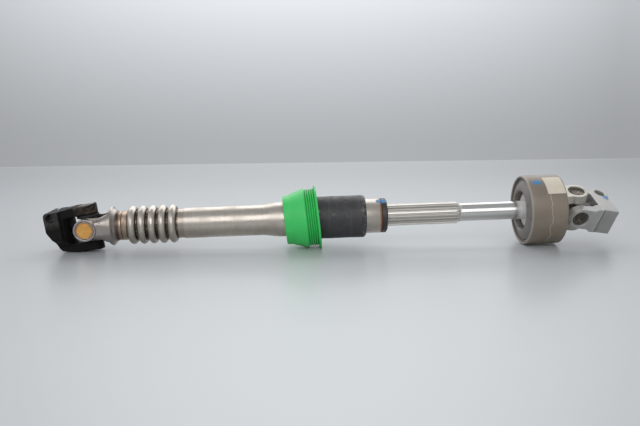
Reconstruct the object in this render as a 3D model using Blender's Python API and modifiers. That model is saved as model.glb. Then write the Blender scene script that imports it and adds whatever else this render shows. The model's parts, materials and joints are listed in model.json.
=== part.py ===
"""Lower steering shaft: two cardan joints, a corrugated crash tube, a sliding spline and a rubber coupling.

Lengths are in metres. The shaft is built along +X of its own frame, with the lower joint centre at x = 0,
and the whole assembly is then laid down on the plane z = 0.
"""

import math
from dataclasses import dataclass

import bmesh
import bpy
from mathutils import Matrix, Vector

MM = 0.001

# Clearances
PRESS_GAP = 0.15 * MM
RUN_GAP = 0.3 * MM
SEAM_GAP = 0.3 * MM
SWING_MARGIN = 0.8 * MM

# Lower cardan joint, distances from its centre
LOWER_EAR_OUTER = 18.7 * MM
LOWER_EAR_THICKNESS = 8.0 * MM
LOWER_EAR_RADIUS = 8.8 * MM
LOWER_CLAMP_EAR_RADIUS = 8.3 * MM
LOWER_EAR_CROWN = 0.7 * MM
LOWER_CUP_DIAMETER = 14.0 * MM
LOWER_CUP_RECESS = 0.4 * MM

# Upper cardan joint, distances from its centre
UPPER_EAR_OUTER = 17.0 * MM
UPPER_EAR_THICKNESS = 7.5 * MM
UPPER_EAR_RADIUS = 9.2 * MM
UPPER_CUP_DIAMETER = 13.0 * MM
UPPER_CUP_RECESS = 1.4 * MM

# Bearing cups, needles and trunnion seals, the same in both joints
CUP_WALL = 1.2 * MM
CUP_FLOOR = 1.6 * MM
CUP_CHAMFER = 0.5 * MM
CUP_SETBACK = 0.5 * MM
NEEDLE_DIAMETER = 1.4 * MM
NEEDLE_COUNT = 10
NEEDLE_VALLEY = 0.5 * MM
SEAL_THICKNESS = 1.2 * MM
SEAL_LIP = 0.4 * MM
SHOULDER_HEIGHT = 1.5 * MM
CROSS_CHAMFER = 0.5 * MM

# Angles of the joints as they lie in the photograph
LOWER_DROOP = math.radians(6.5)
UPPER_ROLL = math.radians(25)
UPPER_FORK_SWING = math.radians(3)
UPPER_CLAMP_SWING = math.radians(13)
LOWER_SWING_LIMIT = math.radians(30)

# Tube yoke
ARM_HALF_WIDTH = 17.2 * MM
ARM_HALF_HEIGHT = 8.6 * MM
ARM_CORNER_RADIUS = 5.5 * MM
ARM_RIB_RADIUS = 0.9 * MM
ARM_RIB_END = 12.5 * MM
RIDGE_PLACE = 17.4 * MM
RIDGE_RADIUS = 16.0 * MM
RIDGE_FLAT = 1.0 * MM
YOKE_FLARE_LENGTH = 9.4 * MM
YOKE_BACK_LENGTH = 5.0 * MM
SWEEP = 2.0
FLARE_SHARES = (0.25, 0.5, 0.7, 0.86)
NECK_END = 27.0 * MM
SPIGOT_LENGTH = 2.5 * MM

# Corrugated tube
NECK_RADIUS = 11.5 * MM
TUBE_WALL = 1.5 * MM
CREST_COUNT = 5
CREST_PITCH = 8.05 * MM
FIRST_CREST = 33.7 * MM
CREST_RADIUS = 15.5 * MM
ROOT_GAP = 0.7 * MM
SLIM_TUBE_START = 75.0 * MM
SLIM_TUBE_RADIUS = 12.0 * MM
SLIM_TUBE_END = 138.4 * MM
SLIDE_TUBE_START = 155.0 * MM
SLIDE_TUBE_RADIUS = 14.0 * MM
SLIDE_TUBE_END = 237.0 * MM

# Spline, its liner and the ring that closes the tube
SPLINE_TEETH = 20
SPLINE_TIP_RADIUS = 9.0 * MM
SPLINE_ROOT_RADIUS = 8.0 * MM
SPLINE_START = 170.0 * MM
SPLINE_END = 303.0 * MM
SPLINE_CHAMFER = 1.4 * MM
LINER_START = 168.0 * MM
WIPER_LENGTH = 4.6 * MM
WIPER_CHAMFER = 1.3 * MM
PLAIN_SHAFT_RADIUS = 7.5 * MM

# Black bearing sleeve under the seal collar
SLEEVE_START = 159.5 * MM
SLEEVE_END = 224.4 * MM
SLEEVE_RADIUS = 17.5 * MM
SLEEVE_ROUNDING = 2.6 * MM

# Seal collar, measured along its own axis
COLLAR_START = 157.7 * MM
COLLAR_LENGTH = 26.8 * MM
COLLAR_TILT = math.radians(4.5)
COLLAR_RIM_WALL = 1.0 * MM
COLLAR_RIM_LENGTH = 4.5 * MM
COLLAR_CONE_RISE = 4.0 * MM
COLLAR_CONE_END = 16.8 * MM
COLLAR_FLANGE_RISE = 4.6 * MM
COLLAR_FLANGE_THICKNESS = 2.2 * MM
COLLAR_GROOVE_RISE = 2.4 * MM
COLLAR_RIB_HEIGHT = 0.8 * MM
COLLAR_RIBS = 4
COLLAR_WALL = 1.7 * MM

# Rubber coupling
COUPLING_START = 356.3 * MM
COUPLING_LENGTH = 27.4 * MM
COUPLING_RADIUS = 29.0 * MM
COUPLING_RIM = 2.2 * MM
COUPLING_CHAMFER = 0.8 * MM
COVER_RECESS = 2.0 * MM
COVER_DOME = 3.2 * MM
COVER_THICKNESS = 5.4 * MM
COVER_HOLE_RADIUS = 16.0 * MM
HUB_RECESS = 3.4 * MM
HUB_RADIUS = 14.6 * MM
FORK_PLATE_THICKNESS = 3.6 * MM
FORK_PLATE_RECESS = 0.4 * MM

# Upper fork
FORK_REACH = 15.3 * MM
FORK_ROOT_HALF_WIDTH = 10.5 * MM
FORK_WAIST_ANGLE = 120
FORK_EAR_CHAMFER = 1.7 * MM

# Lower clamp yoke, distances from the joint centre towards the clamp
LOWER_BORE_DIAMETER = 17.0 * MM
LOWER_CLAMP_END = 31.4 * MM
LOWER_LUG_LENGTH = 11.8 * MM
LOWER_LUG_HALF_WIDTH = 14.5 * MM
LOWER_CLAMP_TOP = 17.3 * MM
LOWER_CLAMP_BOTTOM = 14.0 * MM
LOWER_NOSE_RUN = 2.0 * MM
LOWER_NOSE_SETBACK = 0.5 * MM
LOWER_NOSE_DROP = 1.6 * MM
LOWER_NOSE_FOOT = 4.3 * MM
LOWER_SHIN_PLACE = 2.2 * MM
LOWER_NOTCH_SETBACK = 5.5 * MM
LOWER_NOTCH_PLACE = 6.2 * MM
LOWER_CHIN_SETBACK = 6.8 * MM
LOWER_CHIN_CORNER = 2.8 * MM
LOWER_CHIN_RUN = 9.4 * MM
LOWER_LUG_CORNER = 1.0 * MM
LOWER_LUG_STEP = 3.0 * MM
LOWER_LUG_STEP_RUN = 1.5 * MM
LOWER_WAIST_PLACE = 11.4 * MM
LOWER_BELLY_CORNER = 2.0 * MM
LOWER_SLIT = 2.6 * MM
LOWER_SLIT_FOOT = 3.4 * MM
LOWER_BOLT_PLACE = 26.0 * MM
LOWER_BOLT_HEIGHT = 12.0 * MM
BOLT_TAP_DIAMETER = 6.8 * MM
BOLT_CLEAR_DIAMETER = 8.6 * MM

# Upper clamp yoke, distances from the joint centre towards the clamp
UPPER_BORE_DIAMETER = 16.6 * MM
UPPER_CLAMP_END = 30.8 * MM
UPPER_CLAMP_HALF_HEIGHT = 11.0 * MM
UPPER_SHOULDER_PLACE = 12.5 * MM
UPPER_EAR_CORNER = 2.6 * MM
UPPER_THROAT = 15.8 * MM
UPPER_THROAT_CORNER = 3.0 * MM
UPPER_STEP_PLACE = 17.3 * MM
UPPER_STEP_DEPTH = 0.6 * MM
UPPER_SLIT = 2.6 * MM
UPPER_BOLT_PLACE = 26.4 * MM
UPPER_BOLT_OFFSET = 12.0 * MM
UPPER_LUG_RADIUS = 7.2 * MM

# Facets round a turn
FACETS_HIDDEN = 12
FACETS_SMALL = 18
FACETS_TUBE = 24
FACETS_LARGE = 28
FACETS_SPLINE_ENVELOPE = 40
CREST_STEPS = 6
CREST_STEPS_INSIDE = 2
ARM_CORNER_STEPS = 4
TURNING_STEPS = 4
FRAME_MARK_SIZE = 10.0 * MM
MERGE_DISTANCE = 1e-5
THROUGH = 60.0 * MM

# Turns that carry +X to the direction in which a trunnion points
TO_PLUS_Y = (0.0, 0.0, math.pi / 2)
TO_MINUS_Y = (0.0, 0.0, -math.pi / 2)
TO_PLUS_Z = (0.0, -math.pi / 2, 0.0)
TO_MINUS_Z = (0.0, math.pi / 2, 0.0)

# Colour, metallic and roughness of each finish
FINISHES = {
    "black_coating": ((0.022, 0.022, 0.023), 0.1, 0.45),
    "yellow_zinc": ((0.62, 0.36, 0.10), 0.9, 0.35),
    "bright_steel": ((0.60, 0.57, 0.54), 1.0, 0.28),
    "turned_steel": ((0.55, 0.53, 0.50), 1.0, 0.38),
    "bearing_steel": ((0.50, 0.49, 0.48), 1.0, 0.25),
    "seal_rubber": ((0.02, 0.02, 0.02), 0.0, 0.7),
    "nylon": ((0.60, 0.58, 0.50), 0.0, 0.5),
    "black_plastic": ((0.05, 0.05, 0.052), 0.0, 0.5),
    "green_plastic": ((0.05, 0.45, 0.11), 0.0, 0.42),
    "brown_coating": ((0.24, 0.20, 0.16), 0.4, 0.5),
    "grey_steel": ((0.30, 0.29, 0.29), 0.8, 0.45),
    "pale_casting": ((0.62, 0.60, 0.56), 0.9, 0.45),
    "aluminium": ((0.42, 0.43, 0.43), 0.9, 0.45),
}


@dataclass(frozen=True)
class Cardan:
    """Sizes of one cardan joint, as distances from its centre along a trunnion."""

    ear_outer: float
    ear_thickness: float
    cup_radius: float
    cup_recess: float

    @property
    def ear_inner(self):
        return self.ear_outer - self.ear_thickness

    @property
    def cup_end(self):
        return self.ear_outer - self.cup_recess

    @property
    def cup_floor(self):
        return self.cup_end - CUP_FLOOR

    @property
    def cup_mouth(self):
        return self.ear_inner + CUP_SETBACK

    @property
    def cup_bore(self):
        return self.cup_radius - CUP_WALL

    @property
    def trunnion_radius(self):
        return self.cup_bore - NEEDLE_DIAMETER - 2 * PRESS_GAP

    @property
    def shoulder(self):
        return self.cup_mouth - SEAL_THICKNESS - 2 * PRESS_GAP


UPPER_JOINT_PLACE = COUPLING_START + COUPLING_LENGTH + FORK_REACH
LOWER_JOINT = Cardan(LOWER_EAR_OUTER, LOWER_EAR_THICKNESS, LOWER_CUP_DIAMETER / 2, LOWER_CUP_RECESS)
UPPER_JOINT = Cardan(UPPER_EAR_OUTER, UPPER_EAR_THICKNESS, UPPER_CUP_DIAMETER / 2, UPPER_CUP_RECESS)


def clear_scene():
    for obj in list(bpy.data.objects):
        bpy.data.objects.remove(obj, do_unlink=True)


def new_collection(name):
    collection = bpy.data.collections.new(name)
    bpy.context.scene.collection.children.link(collection)
    return collection


clear_scene()
PARTS = new_collection("steering_shaft_joint")
CUTTERS = new_collection("cutters")


def new_frame(name, parent=None, location=(0.0, 0.0, 0.0), rotation=(0.0, 0.0, 0.0)):
    """An empty that carries the pieces of one body."""
    frame = bpy.data.objects.new(name, None)
    frame.empty_display_size = FRAME_MARK_SIZE
    PARTS.objects.link(frame)
    frame.parent = parent
    frame.location = location
    frame.rotation_euler = rotation
    return frame


def new_object(name, mesh, frame, rotation=(0.0, 0.0, 0.0)):
    obj = bpy.data.objects.new(name, mesh)
    PARTS.objects.link(obj)
    obj.parent = frame
    obj.rotation_euler = rotation
    return obj


def make_helper(obj):
    """Moves a cutter or a joined shape out of the parts."""
    PARTS.objects.unlink(obj)
    CUTTERS.objects.link(obj)
    obj.hide_render = True
    obj.display_type = "WIRE"
    return obj


def paint(obj, finish):
    """Gives an object its own material and smooth shading."""
    colour, metallic, roughness = FINISHES[finish]
    material = bpy.data.materials.new(f"{obj.name}_{finish}")
    material.use_nodes = True
    shader = material.node_tree.nodes["Principled BSDF"]
    shader.inputs["Base Color"].default_value = (*colour, 1.0)
    shader.inputs["Metallic"].default_value = metallic
    shader.inputs["Roughness"].default_value = roughness
    obj.data.materials.append(material)
    for polygon in obj.data.polygons:
        polygon.use_smooth = True
    return obj


def combine(obj, tool, operation):
    modifier = obj.modifiers.new(f"{operation.title()} {tool.name}", "BOOLEAN")
    modifier.operation = operation
    modifier.solver = "EXACT"
    modifier.object = make_helper(tool)


def cut(obj, *tools):
    for tool in tools:
        combine(obj, tool, "DIFFERENCE")


def join(obj, *tools):
    for tool in tools:
        combine(obj, tool, "UNION")


def keep_inside(obj, *tools):
    for tool in tools:
        combine(obj, tool, "INTERSECT")


def signed_area(outline):
    """Area of a closed outline, positive where it runs anticlockwise."""
    return sum(a[0] * b[1] - b[0] * a[1] for a, b in zip(outline, outline[1:] + outline[:1])) / 2


def turned(name, profile, frame, facets=FACETS_TUBE, rotation=(0.0, 0.0, 0.0)):
    """A body turned about X from (x, radius) points. A solid one starts and ends on the axis."""
    on_axis = profile[0][1] == 0.0 and profile[-1][1] == 0.0
    if signed_area(profile) < 0.0:
        profile = profile[::-1]
    mesh = bpy.data.meshes.new(name)
    points = [(x, radius, 0.0) for x, radius in profile]
    edges = [(i, i + 1) for i in range(len(points) - 1)]
    if not on_axis:
        edges.append((len(points) - 1, 0))
    mesh.from_pydata(points, edges, [])
    obj = new_object(name, mesh, frame, rotation)
    screw = obj.modifiers.new("Turn", "SCREW")
    screw.axis = "X"
    screw.angle = 2 * math.pi
    screw.steps = facets
    screw.render_steps = facets
    screw.use_merge_vertices = True
    screw.merge_threshold = MERGE_DISTANCE
    screw.use_smooth_shade = True
    return obj


PLANES = {
    "XY": Matrix.Identity(4),
    "XZ": Matrix.Rotation(math.pi / 2, 4, "X"),
    "YZ": Matrix.Rotation(math.pi / 2, 4, "Z") @ Matrix.Rotation(math.pi / 2, 4, "X"),
}


def plate(name, outlines, plane, low, high, frame, rotation=(0.0, 0.0, 0.0)):
    """Outlines in one plane, pushed from low to high along the third axis and made one mesh."""
    curve = bpy.data.curves.new(name, "CURVE")
    curve.dimensions = "2D"
    curve.fill_mode = "BOTH"
    curve.extrude = (high - low) / 2
    for outline in outlines:
        spline = curve.splines.new("POLY")
        spline.points.add(len(outline) - 1)
        spline.use_cyclic_u = True
        for point, (a, b) in zip(spline.points, outline):
            point.co = (a, b, 0.0, 1.0)
    flat = bpy.data.objects.new(name, curve)
    PARTS.objects.link(flat)
    bpy.context.view_layer.update()
    graph = bpy.context.evaluated_depsgraph_get()
    mesh = bpy.data.meshes.new_from_object(flat.evaluated_get(graph))
    bpy.data.objects.remove(flat, do_unlink=True)
    bpy.data.curves.remove(curve)
    middle = (low + high) / 2
    depth_sign = -1.0 if plane == "XZ" else 1.0
    shift = Matrix.Translation((0.0, 0.0, depth_sign * middle))
    shape = bmesh.new()
    shape.from_mesh(mesh)
    bmesh.ops.remove_doubles(shape, verts=shape.verts, dist=MERGE_DISTANCE)
    bmesh.ops.transform(shape, matrix=PLANES[plane] @ shift, verts=shape.verts)
    bmesh.ops.recalc_face_normals(shape, faces=shape.faces)
    shape.to_mesh(mesh)
    shape.free()
    mesh.name = name
    return new_object(name, mesh, frame, rotation)


ROD_TURNS = {
    "X": Matrix.Rotation(math.pi / 2, 4, "Y"),
    "Y": Matrix.Rotation(-math.pi / 2, 4, "X"),
    "Z": Matrix.Identity(4),
}


def rod(name, radius, axis, low, high, frame, centre=(0.0, 0.0), facets=FACETS_SMALL):
    """A cylinder from low to high along one axis. Its centre is given in the other two axes, in order."""
    shape = bmesh.new()
    bmesh.ops.create_cone(
        shape, cap_ends=True, segments=facets, radius1=radius, radius2=radius, depth=high - low
    )
    middle = (low + high) / 2
    places = {
        "X": (middle, centre[0], centre[1]),
        "Y": (centre[0], middle, centre[1]),
        "Z": (centre[0], centre[1], middle),
    }
    matrix = Matrix.Translation(places[axis]) @ ROD_TURNS[axis]
    bmesh.ops.transform(shape, matrix=matrix, verts=shape.verts)
    mesh = bpy.data.meshes.new(name)
    shape.to_mesh(mesh)
    shape.free()
    return new_object(name, mesh, frame)


def block(name, low, high, frame):
    """A box between two opposite corners."""
    low = Vector(low)
    high = Vector(high)
    shape = bmesh.new()
    bmesh.ops.create_cube(shape, size=1.0)
    matrix = Matrix.Translation((low + high) / 2) @ Matrix.Diagonal((*(high - low), 1.0))
    bmesh.ops.transform(shape, matrix=matrix, verts=shape.verts)
    mesh = bpy.data.meshes.new(name)
    shape.to_mesh(mesh)
    shape.free()
    return new_object(name, mesh, frame)


def arc(centre, radius, start, end, steps):
    """Points on an arc between two angles in degrees, both ends included."""
    angles = [math.radians(start + (end - start) * i / steps) for i in range(steps + 1)]
    return [(centre[0] + radius * math.cos(a), centre[1] + radius * math.sin(a)) for a in angles]


def circle(radius, facets):
    """A closed outline round the origin."""
    return arc((0.0, 0.0), radius, 0, 360 - 360 / facets, facets - 1)


def mirrored(half):
    """A closed outline from its half above the first axis. A point on that axis is used once."""
    return half + [(a, -b) for a, b in reversed(half) if abs(b) > MERGE_DISTANCE]


def lofted(name, rings, frame):
    """A closed body through rings of (x, y, z) points, which all have the same number of points."""
    shape = bmesh.new()
    loops = [[shape.verts.new(point) for point in ring] for ring in rings]
    for first, second in zip(loops, loops[1:]):
        for i in range(len(first)):
            after = (i + 1) % len(first)
            shape.faces.new((first[i], first[after], second[after], second[i]))
    shape.faces.new(loops[0])
    shape.faces.new(loops[-1])
    bmesh.ops.recalc_face_normals(shape, faces=shape.faces)
    mesh = bpy.data.meshes.new(name)
    shape.to_mesh(mesh)
    shape.free()
    return new_object(name, mesh, frame)


def swing_space(reach, inner, outer, limit, back):
    """Outline of the room that the mating ears need when they swing to the limit on both sides.

    The ears reach that far past their trunnion and lie between inner and outer. The room opens towards -x.
    """
    cosine, sine = math.cos(limit), math.sin(limit)
    nose = (reach * cosine + inner * sine + SWING_MARGIN, inner * cosine - reach * sine)
    heel = (reach * cosine + outer * sine + SWING_MARGIN, outer * cosine - reach * sine)
    radius = math.hypot(reach, outer) + SWING_MARGIN
    heel_angle = math.degrees(math.atan2(heel[1], heel[0]))
    half = [(-back, radius)] + arc((0.0, 0.0), radius, 90, heel_angle, 6) + [heel, nose]
    return mirrored(half)


def bearing_cup(name, joint, frame, turn, finish):
    """A drawn cup, closed at the outer end, that holds the needles of one trunnion."""
    radius = joint.cup_radius
    profile = [
        (joint.cup_floor, 0.0),
        (joint.cup_floor, joint.cup_bore),
        (joint.cup_mouth, joint.cup_bore),
        (joint.cup_mouth, radius),
        (joint.cup_end - CUP_CHAMFER, radius),
        (joint.cup_end, radius - CUP_CHAMFER),
        (joint.cup_end, 0.0),
    ]
    return paint(turned(name, profile, frame, FACETS_SMALL, turn), finish)


def needle_set(name, joint, frame, turn):
    """The needles round one trunnion, side by side, as one ring with a scallop for each."""
    inner = joint.trunnion_radius + PRESS_GAP
    outer = inner + NEEDLE_DIAMETER
    scallops = []
    for i in range(2 * NEEDLE_COUNT):
        angle = math.pi * i / NEEDLE_COUNT
        radius = outer - NEEDLE_VALLEY * (i % 2)
        scallops.append((radius * math.cos(angle), radius * math.sin(angle)))
    bore = circle(inner, FACETS_HIDDEN)
    low = joint.cup_mouth + PRESS_GAP
    high = joint.cup_floor - 2 * PRESS_GAP
    return paint(plate(name, [scallops, bore], "YZ", low, high, frame, turn), "bearing_steel")


def trunnion_seal(name, joint, frame, turn):
    """The lipped ring between the shoulder of a trunnion and the mouth of its cup."""
    inner = joint.trunnion_radius + PRESS_GAP
    outer = joint.cup_radius - PRESS_GAP
    low = joint.shoulder + PRESS_GAP
    high = low + SEAL_THICKNESS
    profile = [
        (high, inner),
        (low, inner),
        (low, outer - SEAL_LIP),
        (low + SEAL_LIP, outer),
        (high, outer),
    ]
    return paint(turned(name, profile, frame, FACETS_HIDDEN, turn), "seal_rubber")


def spider_arm(name, joint, frame, turn):
    """One bar of the cross, with a trunnion at each end."""
    radius = joint.trunnion_radius
    collar = radius + SHOULDER_HEIGHT
    end = joint.cup_floor - RUN_GAP
    half = [
        (end, 0.0),
        (end, radius - CROSS_CHAMFER),
        (end - CROSS_CHAMFER, radius),
        (joint.shoulder, radius),
        (joint.shoulder, collar),
        (collar, collar + SHOULDER_HEIGHT / 2),
    ]
    profile = [(-x, r) for x, r in half] + list(reversed(half))
    return turned(name, profile, frame, FACETS_HIDDEN, turn)


def cardan_cross(prefix, joint, frame):
    """The cross of one joint, with the needles and the seal of each trunnion."""
    cross = spider_arm(f"{prefix}_cross", joint, frame, TO_PLUS_Y)
    join(cross, spider_arm(f"{prefix}_cross_bar", joint, frame, TO_PLUS_Z))
    paint(cross, "turned_steel")
    turns = {"front": TO_MINUS_Y, "rear": TO_PLUS_Y, "top": TO_PLUS_Z, "bottom": TO_MINUS_Z}
    for side, turn in turns.items():
        needle_set(f"{prefix}_needles_{side}", joint, frame, turn)
        trunnion_seal(f"{prefix}_seal_{side}", joint, frame, turn)


def arm_ring(x, share):
    """A ring of the yoke's bell: a rounded box round both arms at share 0, the ridge's circle at share 1."""
    step = 90 / ARM_CORNER_STEPS
    ring = []
    for quarter, sign_y, sign_z in ((0, 1, 1), (1, -1, 1), (2, -1, -1), (3, 1, -1)):
        corner_y = sign_y * (ARM_HALF_WIDTH - ARM_CORNER_RADIUS)
        corner_z = sign_z * (ARM_HALF_HEIGHT - ARM_CORNER_RADIUS)
        for i in range(ARM_CORNER_STEPS + 1):
            box_angle = math.radians(90 * quarter + i * step)
            circle_angle = math.radians(90 * quarter + (i + 0.5) * 90 / (ARM_CORNER_STEPS + 1))
            box_y = corner_y + ARM_CORNER_RADIUS * math.cos(box_angle)
            box_z = corner_z + ARM_CORNER_RADIUS * math.sin(box_angle)
            y = (1 - share) * box_y + share * RIDGE_RADIUS * math.cos(circle_angle)
            z = (1 - share) * box_z + share * RIDGE_RADIUS * math.sin(circle_angle)
            ring.append((x, y, z))
    return ring


def tube_yoke(shaft):
    """The forged yoke that is welded to the corrugated tube, with its ears towards -Y and +Y."""
    outer = LOWER_EAR_OUTER
    yoke = rod("tube_yoke", LOWER_EAR_RADIUS, "Y", -outer, outer, shaft, facets=FACETS_LARGE)
    flare_start = RIDGE_PLACE - YOKE_FLARE_LENGTH
    rings = [arm_ring(0.0, 0.0), arm_ring(flare_start, 0.0)]
    for share in FLARE_SHARES:
        rings.append(arm_ring(flare_start + share * YOKE_FLARE_LENGTH, share**SWEEP))
    rings.append(arm_ring(RIDGE_PLACE + RIDGE_FLAT / 4, 1.0 - RIDGE_FLAT / RIDGE_RADIUS / 4))
    bell = lofted("tube_yoke_bell", rings, shaft)
    back_height = RIDGE_RADIUS - NECK_RADIUS
    back_end = RIDGE_PLACE + RIDGE_FLAT + YOKE_BACK_LENGTH
    spigot = NECK_RADIUS - TUBE_WALL - PRESS_GAP
    profile = [
        (RIDGE_PLACE, 0.0),
        (RIDGE_PLACE, RIDGE_RADIUS),
        (RIDGE_PLACE + RIDGE_FLAT, RIDGE_RADIUS - RIDGE_FLAT / 3),
    ]
    for share in (0.7, 0.4, 0.15):
        x = back_end - share * YOKE_BACK_LENGTH
        profile.append((x, NECK_RADIUS + share**SWEEP * back_height))
    profile += [
        (back_end, NECK_RADIUS),
        (NECK_END, NECK_RADIUS),
        (NECK_END, spigot),
        (NECK_END + SPIGOT_LENGTH, spigot),
        (NECK_END + SPIGOT_LENGTH, 0.0),
    ]
    join(yoke, bell, turned("tube_yoke_base", profile, shaft, FACETS_LARGE))
    rib_place = ARM_HALF_WIDTH - ARM_CORNER_RADIUS + ARM_RIB_RADIUS
    for side, sign_y, sign_z in (("a", 1, 1), ("b", 1, -1), ("c", -1, 1), ("d", -1, -1)):
        centre = (sign_y * rib_place, sign_z * (ARM_HALF_HEIGHT - ARM_RIB_RADIUS / 2))
        rib = rod(f"tube_yoke_rib_{side}", ARM_RIB_RADIUS, "X", 0.0, ARM_RIB_END, shaft, centre, 6)
        join(yoke, rib)
    inner = LOWER_JOINT.ear_inner
    room = swing_space(LOWER_CLAMP_EAR_RADIUS, inner, outer, LOWER_SWING_LIMIT, THROUGH)
    cut(
        yoke,
        plate("tube_yoke_throat", [room], "XZ", -inner, inner, shaft),
        rod("tube_yoke_bore", LOWER_JOINT.cup_radius + PRESS_GAP, "Y", -THROUGH, THROUGH, shaft),
    )
    paint(yoke, "bright_steel")
    for side, turn in (("front", TO_MINUS_Y), ("rear", TO_PLUS_Y)):
        bearing_cup(f"lower_cup_{side}", LOWER_JOINT, shaft, turn, "yellow_zinc")


def crest_points(radius_drop, steps):
    """(x, radius) points of the bellows crests, from the first to the last, set inwards by radius_drop."""
    half_length = CREST_PITCH / 2 - ROOT_GAP / 2 - radius_drop / 2
    root = NECK_RADIUS - radius_drop
    height = CREST_RADIUS - NECK_RADIUS
    points = []
    for crest in range(CREST_COUNT):
        middle = FIRST_CREST + crest * CREST_PITCH
        for x, r in arc((0.0, 0.0), 1.0, 180, 0, steps):
            points.append((middle + half_length * x, root + height * r**0.8))
    return points


def corrugated_tube(shaft):
    """One drawn tube: bellows that fold in a crash, a slim length, and the wide end that holds the spline."""
    inner_slide = SLIDE_TUBE_RADIUS - TUBE_WALL
    inner_slim = SLIM_TUBE_RADIUS - TUBE_WALL
    inner_neck = NECK_RADIUS - TUBE_WALL
    start = NECK_END + SEAM_GAP
    outer = [(start, NECK_RADIUS)] + crest_points(0.0, CREST_STEPS)
    outer += [
        (SLIM_TUBE_START, NECK_RADIUS),
        (SLIM_TUBE_START + TUBE_WALL, SLIM_TUBE_RADIUS),
        (SLIM_TUBE_END, SLIM_TUBE_RADIUS),
        ((SLIM_TUBE_END + SLIDE_TUBE_START) / 2, (SLIM_TUBE_RADIUS + SLIDE_TUBE_RADIUS) / 2),
        (SLIDE_TUBE_START, SLIDE_TUBE_RADIUS),
        (SLIDE_TUBE_END, SLIDE_TUBE_RADIUS),
    ]
    inner = [
        (SLIDE_TUBE_END, inner_slide),
        (SLIDE_TUBE_START + TUBE_WALL, inner_slide),
        (SLIM_TUBE_END + TUBE_WALL, inner_slim),
        (SLIM_TUBE_START + TUBE_WALL, inner_slim),
        (SLIM_TUBE_START, inner_neck),
    ]
    inner += crest_points(TUBE_WALL, CREST_STEPS_INSIDE)[::-1]
    inner.append((start, inner_neck))
    tube = turned("corrugated_tube", outer + inner, shaft)
    paint(tube, "turned_steel")


def spline_outline(tip, root, widen):
    """Outline of the spline in the YZ plane. Widen grows each tooth by that length on both flanks."""
    pitch = 2 * math.pi / SPLINE_TEETH
    points = []
    for tooth in range(SPLINE_TEETH):
        middle = tooth * pitch
        for share, radius in ((-0.30, root), (-0.20, tip), (0.20, tip), (0.30, root)):
            angle = middle + share * pitch + math.copysign(widen / radius, share)
            points.append((radius * math.cos(angle), radius * math.sin(angle)))
    return points


def spline_liner(shaft):
    """The moulded liner in the wide end of the tube, with the female spline."""
    outer = circle(SLIDE_TUBE_RADIUS - TUBE_WALL - PRESS_GAP, FACETS_LARGE)
    gap = RUN_GAP * 2 / 3
    inner = spline_outline(SPLINE_TIP_RADIUS + gap, SPLINE_ROOT_RADIUS + gap, gap / 2)
    liner = plate("spline_liner", [outer, inner], "YZ", LINER_START, SLIDE_TUBE_END, shaft)
    paint(liner, "nylon")


def wiper_ring(shaft):
    """The ring that closes the tube and wipes the spline."""
    start = SLIDE_TUBE_END + SEAM_GAP
    end = start + WIPER_LENGTH
    bore = SPLINE_TIP_RADIUS + RUN_GAP
    profile = [
        (start, bore),
        (end, bore),
        (end, SLIDE_TUBE_RADIUS - WIPER_CHAMFER),
        (end - WIPER_CHAMFER, SLIDE_TUBE_RADIUS),
        (start, SLIDE_TUBE_RADIUS),
    ]
    paint(turned("wiper_ring", profile, shaft), "black_plastic")


def bearing_sleeve(shaft):
    """The black sleeve on the tube, on which the seal collar turns."""
    bore = SLIDE_TUBE_RADIUS + PRESS_GAP
    centre = (SLEEVE_END - SLEEVE_ROUNDING, SLEEVE_RADIUS - SLEEVE_ROUNDING)
    rounding = arc(centre, SLEEVE_ROUNDING, 0, 90, 3)
    profile = [(SLEEVE_START, bore), (SLEEVE_END, bore)] + rounding + [(SLEEVE_START, SLEEVE_RADIUS)]
    paint(turned("bearing_sleeve", profile, shaft, FACETS_LARGE), "black_plastic")


def seal_collar(shaft):
    """The bulkhead seal: a thin flared collar with four ribs and a flange, cocked on the sleeve."""
    half = COLLAR_LENGTH / 2
    frame = new_frame(
        "seal_collar_frame", shaft, (COLLAR_START + half, 0.0, 0.0), (0.0, -COLLAR_TILT, 0.0)
    )
    bore = SLEEVE_RADIUS / math.cos(COLLAR_TILT) + half * math.tan(COLLAR_TILT) + RUN_GAP
    rim = bore + COLLAR_RIM_WALL
    groove = rim + COLLAR_GROOVE_RISE
    flange = rim + COLLAR_FLANGE_RISE
    flange_start = COLLAR_LENGTH - COLLAR_FLANGE_THICKNESS
    rib_pitch = (flange_start - COLLAR_CONE_END) / (COLLAR_RIBS + 0.5)
    outer = [
        (0.0, rim),
        (COLLAR_RIM_LENGTH, rim + COLLAR_RIM_WALL / 3),
        (COLLAR_CONE_END, rim + COLLAR_CONE_RISE),
    ]
    for rib in range(COLLAR_RIBS):
        place = COLLAR_CONE_END + (rib + 0.5) * rib_pitch
        outer.append((place - rib_pitch / 4, groove))
        outer.append((place + rib_pitch / 4, groove + COLLAR_RIB_HEIGHT))
    outer += [
        (flange_start - rib_pitch / 4, groove),
        (flange_start, flange),
        (COLLAR_LENGTH, flange),
    ]
    inner = [
        (COLLAR_LENGTH, bore),
        (flange_start, bore),
        (flange_start, groove - COLLAR_WALL),
        (COLLAR_CONE_END, groove - COLLAR_WALL),
        (COLLAR_RIM_LENGTH, bore),
        (0.0, bore),
    ]
    profile = [(x - half, radius) for x, radius in outer + inner]
    paint(turned("seal_collar", profile, frame, FACETS_LARGE), "green_plastic")


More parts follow.
